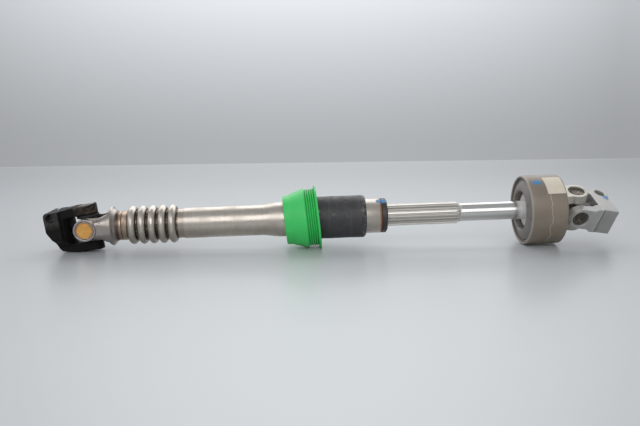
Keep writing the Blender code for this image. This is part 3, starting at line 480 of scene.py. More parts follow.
def worn_metal(name, colour, roughness, stain, stain_amount, lines=0.0):
    """Steel with soft stains, an uneven gloss and, where lines isn't zero, fine turned lines."""
    made = Finish(name, colour, 1.0, roughness)
    clouds = made.noise(14.0, 5.0, 0.6)
    made.mottle(clouds, 0.45, 0.75, stain_amount, stain)
    made.mottle(made.noise(1.1, 3.0, 0.6), 0.62, 0.74, 0.35, tuple(0.55 * c for c in colour))
    made.matt(made.span(clouds, 0.35, 0.7), min(1.0, roughness * 1.5))
    if lines:
        fine = made.noise(0.35, 2.0, 0.5, (1.0, 0.02, 0.02))
        made.mottle(fine, 0.3, 0.7, 0.22, tuple(0.5 * c for c in colour))
        made.bump(fine, 0.02 * lines)
    return made


def black_forging():
    """The black coating, with a rubbed lug plate, brown wear on the upper ear's side that also serves as a
    painted highlight, and a little dust.
    """
    made = Finish("black_coating", (0.0060, 0.0057, 0.0057), 0.0, 0.50, Specular_IOR_Level=0.15)
    clouds = made.noise(9.0, 5.0, 0.6)
    made.mottle(clouds, 0.4, 0.7, 0.6, (0.011, 0.0105, 0.010))
    made.matt(made.span(clouds, 0.35, 0.7), 0.62)
    x, y, z = made.axis(0), made.axis(1), made.axis(2)
    lug = made.times(made.below(x, -0.0200, -0.0190), made.span(z, 0.0025, 0.0085))
    plate = made.times(made.span(made.math("ABSOLUTE", y), 0.0139, 0.0144), lug)
    rubbed = made.span(made.noise(3.0, 5.0, 0.65, seed=2.0), 0.35, 0.65, 0.45, 1.0)
    made.paint(made.times(plate, rubbed), (0.048, 0.045, 0.041))
    height = made.math("ABSOLUTE", z)
    ear = made.times(made.span(height, 0.0112, 0.0124), made.span(x, -0.0095, -0.0070))
    side = made.times(ear, made.below(height, 0.0178, 0.0184))
    # Brown on the upper ear's side only: partly worn coating, partly a painted highlight where the light falls
    # on that ear.
    wear_and_sheen = made.span(made.noise(2.6, 5.0, 0.6, (0.5, 1.0, 1.0), seed=6.0), 0.42, 0.62, 0.15, 1.0)
    made.paint(made.times(side, wear_and_sheen, made.span(z, -0.001, 0.001)), (0.085, 0.058, 0.045))
    edge = made.node("ShaderNodeNewGeometry").outputs["Pointiness"]
    worn = made.times(made.span(edge, 0.52, 0.57), made.span(made.noise(2.5, 4.0), 0.40, 0.62))
    made.paint(worn, (0.085, 0.080, 0.075), 0.45)
    made.mottle(made.noise(3.0, 6.0, 0.7, seed=3.0), 0.66, 0.78, 0.2, (0.12, 0.105, 0.09))
    made.bump(made.noise(1.8, 4.0, 0.6), 0.15)
    made.bump(made.noise(0.5, 3.0, 0.6), 0.04)
    return made.done()


def gold_cup():
    """The yellow cup, with the steel that is staked over its rim in six places."""
    made = Finish("yellow_zinc", (0.66, 0.335, 0.075), 0.2, 0.42)
    made.mottle(made.noise(4.4, 3.0, 0.5, warp=0.6), 0.42, 0.66, 0.8, (0.74, 0.40, 0.11))
    made.mottle(made.noise(3.4, 3.0, 0.5, seed=5.0), 0.56, 0.70, 0.6, (0.62, 0.24, 0.045))
    y, z = made.axis(1), made.axis(2)
    across, along = made.times(y, 0.866), made.times(z, 0.5)
    one = made.math("ABSOLUTE", made.math("ADD", across, along))
    two = made.math("ABSOLUTE", made.math("SUBTRACT", across, along))
    far = made.math("MAXIMUM", made.math("MAXIMUM", one, two), made.math("ABSOLUTE", z))
    far = made.math("MAXIMUM", far, made.times(made.radius(), 0.925))
    made.paint(made.between(far, 0.0054, 0.0061, 0.0003), (0.36, 0.12, 0.03), 0.7)
    staked = made.span(far, 0.0060, 0.0063)
    made.paint(staked, (0.40, 0.375, 0.36))
    made.metallic(staked, 1.0)
    made.bump(made.span(far, 0.0059, 0.0064), 0.25)
    made.bump(made.noise(0.7, 3.0), 0.03)
    return made.done()


def yoke_steel():
    """Forged steel with grime round the cups, painted shade where the arms sweep into the bell, and the heat
    tint of the weld on its neck.
    """
    made = worn_metal("forged_steel", (0.385, 0.350, 0.325), 0.24, (0.26, 0.21, 0.18), 0.4)
    x, y, z = made.axis(0), made.axis(1), made.axis(2)
    corner = made.times(made.between(x, 0.0065, 0.0125, 0.0012), made.between(z, 0.0035, 0.0075, 0.0010))
    scratch = made.span(made.noise(1.5, 5.0, 0.7, (1.0, 1.0, 2.2), seed=9.0), 0.50, 0.58)
    made.paint(made.times(corner, scratch), (0.045, 0.038, 0.034), 0.85)
    # Darker where the arms sweep into the bell: painted shade in that hollow.
    crook = made.times(made.between(x, 0.0135, 0.0160, 0.0010), made.span(made.radius(), 0.0150, 0.0135))
    made.paint(crook, (0.14, 0.12, 0.11), 0.35)
    made.paint(made.between(x, 0.0222, 0.0250, 0.0007), (0.085, 0.050, 0.032), 0.88)
    made.paint(made.span(x, 0.0250, 0.0260), WELD_TINT, 0.70)
    made.bump(made.noise(1.6, 4.0, 0.6), 0.10)
    made.bump(made.noise(0.45, 3.0), 0.03)
    return made.done()


def tube_dab(made):
    """The dab of blue paint that runs from the end of the tube over the wiper ring."""
    dab = made.dab(made.axis(0), made.angle(), (0.2372, 24.0), (0.0044, 13.0), 2.0)
    made.paint(dab, BLUE_PAINT, 0.92)
    made.metallic(dab, 0.0)
    made.matt(dab, 0.5)


def tube_steel():
    """Drawn steel with painted shade and dirt in the roots of the bellows, heat tint at the weld and a burnt
    orange rim.
    """
    made = worn_metal("drawn_steel", (0.565, 0.515, 0.460), 0.27, (0.36, 0.30, 0.24), 0.35, 0.6)
    x, r = made.axis(0), made.radius()
    bellows = made.between(x, 0.0310, 0.0722, 0.0004)
    # Near-black deep in the roots of the bellows: painted shade between the corrugations, with some dirt.
    root = made.times(made.below(r, 0.0122, 0.0146), bellows)
    made.paint(root, (0.040, 0.029, 0.022), 0.95)
    # Lighter flecks on the floor of each root: painted light that reaches between the shaded walls.
    stripe = made.times(made.below(r, 0.01212, 0.01222), bellows)
    flecks = made.span(made.noise(1.2, 4.0, 0.6, seed=3.0), 0.50, 0.62)
    made.paint(made.times(stripe, flecks), (0.36, 0.30, 0.25), 0.7)
    made.paint(made.below(x, 0.0300, 0.0312), WELD_TINT, 0.65)
    made.paint(made.between(x, 0.0722, 0.0772, 0.0006), (0.30, 0.225, 0.165), 0.40)
    rim_line = made.between(x, 0.2356, 0.2374, 0.0003)
    made.paint(rim_line, (0.30, 0.105, 0.035), 0.95)
    made.metallic(rim_line, 0.3)
    tube_dab(made)
    return made.done()


def wiper_plastic():
    made = Finish("wiper_plastic", (0.030, 0.026, 0.024), 0.0, 0.42)
    made.mottle(made.noise(5.0, 5.0), 0.4, 0.7, 0.6, (0.055, 0.048, 0.043))
    made.mottle(made.noise(1.2, 5.0, 0.7, seed=8.0), 0.62, 0.74, 0.5, (0.16, 0.13, 0.11))
    made.bump(made.noise(0.8, 3.0), 0.05)
    tube_dab(made)
    return made.done()


def sleeve_plastic():
    """Black moulded sleeve with soft folds, faint bands round it and a few pale flecks that are painted
    highlights.
    """
    made = Finish("black_sleeve", (0.033, 0.032, 0.034), 0.0, 0.46)
    x, angle = made.axis(0), made.angle()
    made.mottle(made.noise(11.0, 5.0, 0.6), 0.4, 0.7, 0.7, (0.050, 0.049, 0.049))
    bands = made.noise(5.0, 3.0, 0.5, (1.0, 0.04, 0.04), seed=2.0)
    made.mottle(bands, 0.52, 0.66, 0.45, (0.075, 0.073, 0.072))
    # Pale flecks in the band of the side that faces the front lamp: painted highlights.
    side = made.between(angle, 60.0, 80.0, 6.0)
    glint_flecks = made.span(made.noise(2.4, 4.0, 0.6, (1.0, 0.5, 0.5), seed=4.0), 0.62, 0.66)
    made.paint(made.times(glint_flecks, side), (0.42, 0.41, 0.40), 0.75)
    worn = made.times(made.span(x, 0.2195, 0.2225), made.span(made.noise(2.8, 4.0, 0.6, seed=5.0), 0.48, 0.60))
    made.paint(worn, (0.17, 0.165, 0.155), 0.6)
    made.matt(made.span(made.noise(3.0, 4.0, seed=7.0), 0.4, 0.7), 0.60)
    folds = made.noise(4.5, 3.0, 0.5, (0.8, 0.5, 0.5), warp=0.8)
    made.bump(made.times(folds, made.span(x, 0.1960, 0.2120, 0.35, 1.0)), 0.55)
    made.bump(made.noise(0.6, 3.0), 0.02)
    return made.done()


def green_plastic():
    made = Finish("green_seal", (0.045, 0.57, 0.125), 0.0, 0.42, Subsurface_Weight=0.05)
    made.shader.inputs["Subsurface Radius"].default_value = (0.0005, 0.0015, 0.0005)
    made.mottle(made.noise(12.0, 4.0), 0.4, 0.7, 0.5, (0.060, 0.63, 0.155))
    # Darker green low between the ribs and inside the collar: painted shade.
    groove = made.times(made.below(made.radius(), 0.02265, 0.0234), made.span(made.axis(0), 0.0042, 0.0046))
    made.paint(groove, (0.012, 0.24, 0.040), 0.70)
    made.mottle(made.noise(1.6, 5.0, 0.7, seed=1.0), 0.66, 0.76, 0.4, (0.10, 0.56, 0.20))
    made.bump(made.noise(8.0, 2.0), 0.08)
    made.bump(made.noise(0.4, 2.0), 0.015)
    return made.done()


def ring_coating():
    """The brown coating of the coupling, with one wavy seam round it and a dab of paint."""
    made = Finish("brown_coating", (0.225, 0.185, 0.145), 0.15, 0.44)
    made.mottle(made.noise(16.0, 5.0, 0.6), 0.4, 0.7, 0.7, (0.265, 0.225, 0.182))
    made.mottle(made.noise(2.2, 5.0, 0.7, seed=2.0), 0.58, 0.74, 0.4, (0.17, 0.13, 0.095))
    x, angle = made.axis(0), made.angle()
    wave = made.span(made.noise(9.0, 3.0, 0.5, (0.2, 1.0, 1.0), seed=7.0), 0.3, 0.7, -0.0016, 0.0016, False)
    line = made.math("ABSOLUTE", made.math("SUBTRACT", made.math("ADD", x, wave), SEAM_PLACE * MM))
    made.paint(made.span(line, 0.00012, 0.00045, 0.8, 0.0), (0.50, 0.45, 0.37))
    made.bump(made.below(line, 0.0, 0.0006), 0.22)
    creases = made.noise(2.6, 3.0, 0.5, (0.25, 1.0, 1.0), warp=1.0, seed=11.0)
    made.bump(made.times(creases, made.span(x, 0.3718, 0.3745)), 0.20)
    dab = made.dab(x, angle, (0.3630, 30.5), (0.0042, 5.5), 3.0)
    made.paint(dab, BLUE_PAINT, 0.95)
    violet = made.times(dab, made.below(x, 0.3592, 0.3600))
    made.paint(violet, (0.20, 0.12, 0.34), 0.6)
    # Lighter along the ring's left edge: a painted highlight on the rim.
    made.paint(made.span(x, 0.3558, 0.3570, 0.55, 0.0), (0.40, 0.365, 0.335))
    made.bump(made.noise(0.8, 3.0), 0.03)
    return made.done()


def cover_steel():
    made = worn_metal("grey_cover", (0.245, 0.225, 0.212), 0.44, (0.12, 0.11, 0.105), 0.6)
    made.metal = 0.45
    # A dark ring where the cover's cone meets its flat rim: painted shade in that crease.
    seam = made.between(made.radius(), 0.0246, 0.0252, 0.0002)
    made.paint(seam, (0.045, 0.040, 0.036), 0.8)
    made.bump(made.noise(1.2, 3.0), 0.05)
    return made.done()


def hub_steel():
    made = worn_metal("grey_hub", (0.70, 0.68, 0.66), 0.45, (0.45, 0.42, 0.40), 0.5)
    made.metal = 0.4
    # Dark round the hub's outer edge: painted shade in the gap between hub and cover.
    made.paint(made.span(made.radius(), 0.0137, 0.0143), (0.05, 0.046, 0.042), 0.8)
    made.bump(made.noise(1.2, 3.0), 0.05)
    return made.done()


def spline_steel():
    made = Finish("spline_steel", (0.70, 0.675, 0.63), 0.85, 0.36)
    x, r = made.axis(0), made.radius()
    cut = made.below(x, 0.3015, 0.3030)
    # Darker in the valleys between the teeth: painted shade.
    valley = made.times(made.below(r, 0.0080, 0.0085), cut)
    made.paint(valley, (0.27, 0.25, 0.225), 0.55)
    fine = made.noise(0.5, 2.0, 0.5, (0.03, 1.0, 1.0))
    made.mottle(fine, 0.3, 0.7, 0.16, (0.40, 0.38, 0.35))
    ground = made.span(x, 0.3030, 0.3050)
    made.paint(ground, (0.60, 0.595, 0.59), 0.8)
    made.metallic(ground, 1.0)
    made.matt(ground, 0.17)
    # The end of the shaft at the hub painted near-white and less metallic: painted light, so that it looks lit
    # inside the hole.
    end = made.span(x, 0.3480, 0.3540)
    made.paint(end, (0.92, 0.91, 0.90), 0.9)
    made.metallic(end, 0.25)
    made.matt(end, 0.40)
    made.matt(made.times(made.span(made.noise(7.0, 5.0), 0.5, 0.7), 0.35), 0.42)
    made.bump(fine, 0.010)
    return made.done()


def cast_fork():
    made = worn_metal("pale_casting", (0.56, 0.53, 0.475), 0.36, (0.44, 0.40, 0.34), 0.4)
    made.metal = 0.8
    made.bump(made.noise(1.4, 4.0, 0.6), 0.10)
    made.bump(made.noise(0.4, 3.0), 0.025)
    return made.done()


def milled_aluminium():
    made = Finish("aluminium_block", (0.545, 0.535, 0.515), 0.68, 0.42)
    made.mottle(made.noise(8.0, 4.0), 0.4, 0.7, 0.4, (0.36, 0.36, 0.355))
    milled = made.noise(0.45, 2.0, 0.5, (1.0, 0.05, 0.05))
    made.mottle(milled, 0.3, 0.7, 0.2, (0.29, 0.29, 0.29))
    made.bump(milled, 0.02)
    made.bump(made.noise(0.5, 3.0), 0.02)
    x, y, z = made.axis(0), made.axis(1), made.axis(2)
    dab = made.dab(x, y, (0.0292, 0.0057), (0.0024, 0.0034), 4.0)
    on_top = made.times(dab, made.span(z, 0.0104, 0.0108))
    made.paint(on_top, BLUE_PAINT, 0.95)
    made.metallic(on_top, 0.0)
    front = made.below(y, -0.0160, -0.0155)
    # The front face past the step painted darker: painted shade.
    beyond = made.times(made.span(x, 0.0172, 0.0176), made.below(y, -0.0155, -0.0145))
    made.paint(beyond, (0.20, 0.205, 0.20), 0.35)
    # A dark line along the step: painted shade of the step.
    step = made.times(made.between(x, 0.0168, 0.0180, 0.0002), front)
    made.paint(step, (0.055, 0.055, 0.055), 0.8)
    return made.done()


def cup_steel():
    """The bright cups of the upper joint, brown with grease and painted shade in their dish, with painted
    glints.
    """
    made = worn_metal("cup_steel", (0.50, 0.47, 0.42), 0.28, (0.22, 0.17, 0.12), 0.7)
    # Dark brown in the dish: grease, together with painted shade of a recess deeper than the modelled one.
    dish = made.span(made.radius(), 0.0058, 0.0064, 1.0, 0.15)
    made.paint(dish, (0.055, 0.040, 0.028), 0.85)
    glint = made.span(made.noise(1.7, 4.0, 0.6, seed=12.0), 0.58, 0.66)
    made.paint(glint, (0.62, 0.58, 0.52), 0.8)
    made.bump(made.noise(1.3, 3.0), 0.16)
    return made.done()


def plain_finish(name, colour, metallic, roughness, grain=1.0, depth=0.03, tint=0.6, packed=True):
    made = Finish(name, colour, metallic, roughness, packed)
    made.mottle(made.noise(6.0, 5.0), 0.4, 0.7, 0.6, tuple(tint * c for c in colour))
    made.matt(made.span(made.noise(4.0, 4.0, seed=1.0), 0.35, 0.7), min(1.0, roughness * 1.3))
    made.bump(made.noise(grain, 3.0), depth)
    return made.done()


def paper():
    made = Finish("blank_label", (0.66, 0.595, 0.49), 0.0, 0.55)
    made.mottle(made.noise(5.0, 4.0), 0.4, 0.7, 0.6, (0.71, 0.65, 0.55))
    made.mottle(made.noise(1.3, 4.0, 0.6, seed=4.0), 0.6, 0.75, 0.35, (0.42, 0.36, 0.28))
    made.bump(made.noise(2.4, 3.0), 0.04)
    return made.done()


MATERIALS = {
    "black": black_forging(),
    "gold": gold_cup(),
    "grimy": plain_finish("grimy_cup", (0.085, 0.060, 0.048), 0.3, 0.45, 1.2, 0.06, 0.6, packed=False),
    "yoke": yoke_steel(),
    "tube": tube_steel(),
    "sleeve": sleeve_plastic(),
    "green": green_plastic(),
    "ring": ring_coating(),
    "cover": cover_steel(),
    "hub": hub_steel(),
    "spline": spline_steel(),
    "fork": cast_fork(),
    "block": milled_aluminium(),
    "cup": cup_steel(),
    "rubber": plain_finish("seal_rubber", (0.018, 0.018, 0.018), 0.0, 0.6),
    "bonded": plain_finish("bonded_rubber", (0.018, 0.018, 0.018), 0.0, 0.6, packed=False),
    "nylon": plain_finish("nylon_liner", (0.55, 0.52, 0.44), 0.0, 0.5),
    "wiper": wiper_plastic(),
    # Near-black lower cross: painted shade for the shadow under the upper ear.
    "shaded_dark": plain_finish("shaded_dark_cross", (0.045, 0.040, 0.036), 0.3, 0.42, 0.8, 0.05, 0.5),
    "cross": plain_finish("cross_steel", (0.30, 0.28, 0.26), 1.0, 0.32, 0.8, 0.03, 0.4),
    "needles": plain_finish("needle_steel", (0.5, 0.48, 0.46), 1.0, 0.2, 0.8, 0.01, 0.7),
    "paper": paper(),
}


# Tube yoke and bearing cups


def rounded_box(half_y, half_z, corner, steps=10):
    """The points of a rounded box, each with the angle of its corner's arc in degrees."""
    ring = []
    for start, sign_y, sign_z in ((0, 1, 1), (90, -1, 1), (180, -1, -1), (270, 1, -1)):
        middle = (sign_y * (half_y - corner), sign_z * (half_z - corner))
        turns = [start + 90 * i / steps for i in range(steps + 1)]
        ring += [(spot, turn) for spot, turn in zip(arc(middle, corner, start, start + 90, steps), turns)]
    return ring


def bell():
    """The arms' rounded section, swept out into the round ridge."""
    box = rounded_box(17.2, 8.6, 5.5)
    rings = [(0.0, [spot for spot, _ in box])]
    for k in range(25):
        share = k / 24
        blend = share**2
        ring = []
        for (y, z), turn in box:
            round_y, round_z = 16.0 * math.cos(math.radians(turn)), 16.0 * math.sin(math.radians(turn))
            ring.append((y + (round_y - y) * blend, z + (round_z - z) * blend))
        rings.append((8.0 + 10.4 * share, ring))
    shape = bmesh.new()
    made = [[shape.verts.new((x * MM, y * MM, z * MM)) for y, z in ring] for x, ring in rings]
    bridge(shape, made)
    shape.faces.new(made[0])
    shape.faces.new(made[-1])
    bmesh.ops.remove_doubles(shape, verts=shape.verts, dist=1e-7)
    return loose(mesh_from(shape, "bell"))


def tube_yoke_mesh():
    base = rod(LOWER_EAR_RADIUS, "Y", -LOWER_EAR, LOWER_EAR)
    back = [(18.3, 0.0), (18.3, 16.0), (18.6, 16.0), (19.4, 15.67)]
    for k in range(1, 12):
        share = 1 - k / 12
        back.append((24.0 - 4.6 * share, 12.0 + share**2.0 * 3.67))
    back += [(24.0, 11.8), (24.6, 11.7), (25.2, 12.0), (27.0, 12.0), (27.0, 9.85), (29.5, 9.85), (29.5, 0.0)]
    steps = [("UNION", bell()), ("UNION", loose(turned_mesh(back, 128)))]
    for sign_y in (1, -1):
        for sign_z in (1, -1):
            steps.append(("UNION", rod(0.9, "X", 0.0, 12.5, (sign_y * 12.6, sign_z * 8.15), 16)))
    room = swing_space(LOWER_CLAMP_EAR_RADIUS, LOWER_EAR_INNER, LOWER_EAR)
    steps.append(("DIFFERENCE", prism(room, "XZ", -LOWER_EAR_INNER, LOWER_EAR_INNER)))
    steps.append(("DIFFERENCE", rod(LOWER_CUP_BORE, "Y", -BEYOND, BEYOND)))
    return carved(base, steps, 0.32, 3)


def staked_cup(name, sizes, matrix, turn, body, material, node):
    """A bearing cup with a soft rim, seen from its closed end, which may be dished inside its bore."""
    floor, end, bore, outer, mouth, recess = sizes
    dish = [(floor, 0.0), (floor, bore), (mouth, bore), (mouth, outer), (end, outer), (end, outer - 1.3)]
    dish += [(end - recess, outer - 2.6), (end - recess, 0.0)]
    mesh = turned_mesh(softened(dish, 0.5), 72)
    finish_mesh(name, mesh, matrix @ TURNS[turn], body, material, 40, node)


finish_mesh("forged_tube_yoke", tube_yoke_mesh(), SHAFT, "outer_shaft", "yoke", 60, "tube_yoke")
for side, turn, where, body, skin in (
    ("front", "-Y", SHAFT, "outer_shaft", "gold"),
    ("rear", "+Y", SHAFT, "outer_shaft", "gold"),
    ("top", "+Z", LOWER, "lower_yoke", "grimy"),
    ("bottom", "-Z", LOWER, "lower_yoke", "grimy"),
):
    staked_cup(f"gold_cup_{side}", LOWER_CUP, where, turn, body, skin, f"lower_cup_{side}")
for side, turn, where, body in (
    ("front", "-Y", CLAMP, "upper_yoke"),
    ("rear", "+Y", CLAMP, "upper_yoke"),
    ("top", "+Z", FORK, "coupling"),
    ("bottom", "-Z", FORK, "coupling"),
):
    staked_cup(f"steel_cup_{side}", UPPER_CUP, where, turn, body, "cup", f"upper_cup_{side}")


# Corrugated tube, wiper ring and black sleeve


def crash_tube_profile():
    neck, slim, slide, wall = NECK_RADIUS, SLIM_RADIUS, SLIDE_RADIUS, TUBE_WALL
    outer = [(TUBE_START, neck - 0.25), (27.55, neck)]
    for crest in range(5):
        middle = FIRST_CREST + CREST_PITCH * crest
        outer.append((middle - 3.85, neck))
        for k in range(33):
            share = math.cos(math.pi * (1 - k / 32))
            outer.append((middle + 3.50 * share, neck + 0.1 + 3.6 * max(0.0, 1 - abs(share) ** 1.9) ** 0.62))
        outer.append((middle + 3.85, neck))
    outer += [(72.6, neck), (75.6, neck), (77.1, slim), (130.0, slim), (138.4, slim + 0.02)]
    for k in range(1, 14):
        t = k / 14
        outer.append((138.4 + 16.6 * t, slim + (slide - slim) * (3 * t * t - 2 * t**3)))
    outer += [(155.0, slide), (200.0, slide), (236.6, slide), (TUBE_END, slide - 0.3)]
    inner = [(TUBE_END, slide - wall), (156.5, slide - wall), (140.0, slim - wall), (76.5, slim - wall)]
    return outer + inner + [(74.0, neck - wall), (TUBE_START, neck - wall)]


tube = turned_mesh(crash_tube_profile(), 160)
finish_mesh("crash_tube", tube, SHAFT, "outer_shaft", "tube", 50, "corrugated_tube")
wiper = softened([(237.3, 9.3), (241.9, 9.3), (241.9, 12.6), (240.8, 14.2), (237.3, 14.2)], 0.5)
wiper = turned_mesh(wiper, 128)
finish_mesh("soft_wiper", wiper, SHAFT, "outer_shaft", "wiper", 45, "wiper_ring")


def sleeve_wobble(x, angle, radius):
    """Soft folds in the outside of the sleeve."""
    if radius < 16.0:
        return 0.0
    return 0.10 * math.sin(3 * angle + x / 9) * math.sin((x - SLEEVE_START) / 65 * math.pi) - 0.08


sleeve = [(SLEEVE_START, SLEEVE_BORE), (SLEEVE_END, SLEEVE_BORE), (SLEEVE_END, 14.7)]
sleeve += arc((221.4, 14.5), 3.0, 0, 90, 10)
sleeve += [(218.0, 17.5), (210.0, 17.35), (204.0, 17.45), (196.0, 17.5), (190.0, 17.4), (178.0, 17.5)]
sleeve += [(160.5, 17.5), (SLEEVE_START, 17.0)]
sleeve_shape = turned_mesh(sleeve, 160, sleeve_wobble)
finish_mesh("black_sleeve", sleeve_shape, SHAFT, "outer_shaft", "sleeve", 45, "bearing_sleeve")


# Seal collar


def collar_profile():
    outer = [(0.0, 19.2), (0.15, 19.75), (0.6, 19.9), (4.2, 20.2)]
    for k in range(1, 9):
        t = k / 8
        outer.append((4.2 + 12.2 * t, 20.2 + 4.2 * t**0.92))
    outer.append((16.9, 24.25))
    for rib in range(4):
        place = 17.3 + (rib + 0.25) * RIB_PITCH
        outer += [(place - 0.25, 22.75), (place + 0.15, 22.6), (place + 0.60, 23.55), (place + 0.85, 23.70)]
        outer += [(place + 1.10, 23.55)]
    outer += [(24.7, 22.7), (25.0, 23.9), (25.25, 25.3), (25.6, 25.7), (26.5, 25.7), (26.8, 25.4)]
    inner = [(26.8, 21.6), (26.0, 20.9), (24.6, 20.8), (16.8, 20.6), (6.0, 19.0), (4.5, 18.91), (0.0, 18.91)]
    return [(0.4 + 1.035 * x - COLLAR_HALF, r) for x, r in outer + inner]


collar = turned_mesh(collar_profile(), 176)
finish_mesh("green_collar", collar, COLLAR, "seal_collar_body", "green", 60, "seal_collar")


# Splined shaft


def splined_mesh():
    """The deep spline, which runs out in a taper, with the plain shaft and its far end."""
    per_tooth = 10
    tip, root, plain = SPLINE_TIP, SPLINE_ROOT, SHAFT_RADIUS
    count = SPLINE_TEETH * per_tooth
    stations = [170.0, 170.6, 171.4, 180, 200, 220, 236, 245, 260, 275, 290, 298, 300.2, 301.4, 302.4, 303.0]
    stations += [303.6, 306.0, 320.0, 340.0, 360.0, 379.0, 379.2]
    shape = bmesh.new()
    rings = []
    for x in stations:
        ring = []
        for k in range(count):
            share = abs(((k / per_tooth + 0.5) % 1.0) - 0.5) * 2
            lift = min(1.0, max(0.0, (0.62 - share) / 0.22))
            lift = lift * lift * (3 - 2 * lift)
            tooth = root + (tip - root) * lift
            if x < 171.4:
                radius = min(tooth, plain + (x - 170.0) / 1.4 * (tip - plain))
            elif x < 300.2:
                radius = tooth
            elif x < 303.0:
                radius = min(tooth, tip + (plain - tip) * (x - 300.2) / 2.8)
            elif x < 379.1:
                radius = plain
            else:
                radius = plain - 0.2
            ring.append(around(shape, x, radius, 2 * math.pi * k / count))
        rings.append(ring)
    bridge(shape, rings)
    shape.faces.new(rings[0])
    shape.faces.new(rings[-1])
    return mesh_from(shape, "spline")


shaft = splined_mesh()
finish_mesh("spline_and_shaft", shaft, SHAFT, "inner_shaft", "spline", 40, "splined_shaft")


# Coupling


def coupling_piece(name, profile, soft, material, node, body="coupling"):
    mesh = turned_mesh(softened(profile, soft, steps=5), 160)
    finish_mesh(name, mesh, SHAFT, body, material, 40, node)


rim = [(RING_START, RING_BORE), (RING_END, RING_BORE), (RING_END, RING_RADIUS - 0.6)]
rim += [(RING_END - 0.6, RING_RADIUS), (RING_START + 0.9, RING_RADIUS), (RING_START, RING_RADIUS - 0.8)]
coupling_piece("brown_ring", rim, 0.7, "ring", "coupling_ring")
dome = [(354.0 + 3.2 * (k / 10) ** 1.5, 16.8 + 8.2 * k / 10) for k in range(11)]
face = [(363.7, 26.5), (363.7, 16.0), (354.8, 16.0)] + dome + [(357.2, 26.5)]
coupling_piece("grey_cover", face, 0.4, "cover", "coupling_cover")
hub = [(359.4, 7.65), (378.3, 7.65), (379.1, 8.4), (379.1, 14.6), (359.4, 14.6), (358.6, 13.8), (358.6, 8.4)]
coupling_piece("grey_hub", hub, 0.3, "hub", "coupling_hub", "inner_shaft")
bond = [(364.0, 14.9), (379.1, 14.9), (379.1, 26.5), (364.0, 26.5)]
coupling_piece("bonded_rubber", bond, 0.4, "bonded", "coupling_rubber")


def label_mesh():
    """A thin blank label that follows the ring, with one lifted corner."""
    shape = bmesh.new()
    rows, columns = 10, 24
    grid = {}
    for layer, radius in ((0, RING_RADIUS + 0.02), (1, RING_RADIUS + 0.12)):
        for i in range(rows + 1):
            for k in range(columns + 1):
                u, v = i / rows, k / columns
                x = 368.6 + 14.6 * u + 0.7 * v
                angle = math.radians(17.0 + 38.5 * v)
                r = radius + 0.12 * max(0.0, u + v - 1.75) * 4
                y, z = -r * math.sin(angle), r * math.cos(angle)
                grid[layer, i, k] = shape.verts.new((x * MM, y * MM, z * MM))
    for layer in (0, 1):
        for i in range(rows):
            for k in range(columns):
                corners = ((i, k), (i + 1, k), (i + 1, k + 1), (i, k + 1))
                shape.faces.new([grid[layer, *corner] for corner in corners])
    border = [(i, 0) for i in range(rows)] + [(rows, k) for k in range(columns)]
    border += [(i, columns) for i in range(rows, 0, -1)] + [(0, k) for k in range(columns, 0, -1)]
    for a, b in zip(border, border[1:] + border[:1]):
        shape.faces.new((grid[0, *a], grid[0, *b], grid[1, *b], grid[1, *a]))
    return mesh_from(shape, "label")


finish_mesh("blank_label", label_mesh(), SHAFT, "coupling", "paper", 40)


# Upper fork


def upper_fork_mesh():
    plate_start, plate_end, plate_radius, root = -19.3, -15.7, 26.5, -17.5
    disc = [(plate_start, 0.0), (plate_start, plate_radius), (plate_end, plate_radius), (plate_end, 0.0)]
    base = loose(turned_mesh(softened(disc, 0.5, closed=False), 128))
    ears = [(root, 10.5)] + arc((0.0, 0.0), UPPER_EAR_RADIUS, 120, 0, ROUND_STEPS)
    side = [(root, UPPER_EAR), (7.5, UPPER_EAR), (9.2, 15.3)]
    bounds = prism(mirrored(side), "XZ", -BEYOND, BEYOND)
    arms = carved(prism(mirrored(ears), "XY", -UPPER_EAR, UPPER_EAR), [("INTERSECT", bounds)])
    gap = [(plate_end, UPPER_EAR_INNER), (BEYOND, UPPER_EAR_INNER)]
    steps = [
        ("UNION", loose(arms)),
        ("DIFFERENCE", prism(mirrored(gap), "XZ", -BEYOND, BEYOND)),
        ("DIFFERENCE", rod(UPPER_CUP_BORE, "Z", -BEYOND, BEYOND)),
    ]
    return carved(base, steps, 0.34, 4)


finish_mesh("cast_fork", upper_fork_mesh(), FORK, "coupling", "fork", 60, "upper_fork")


# Lower clamp yoke


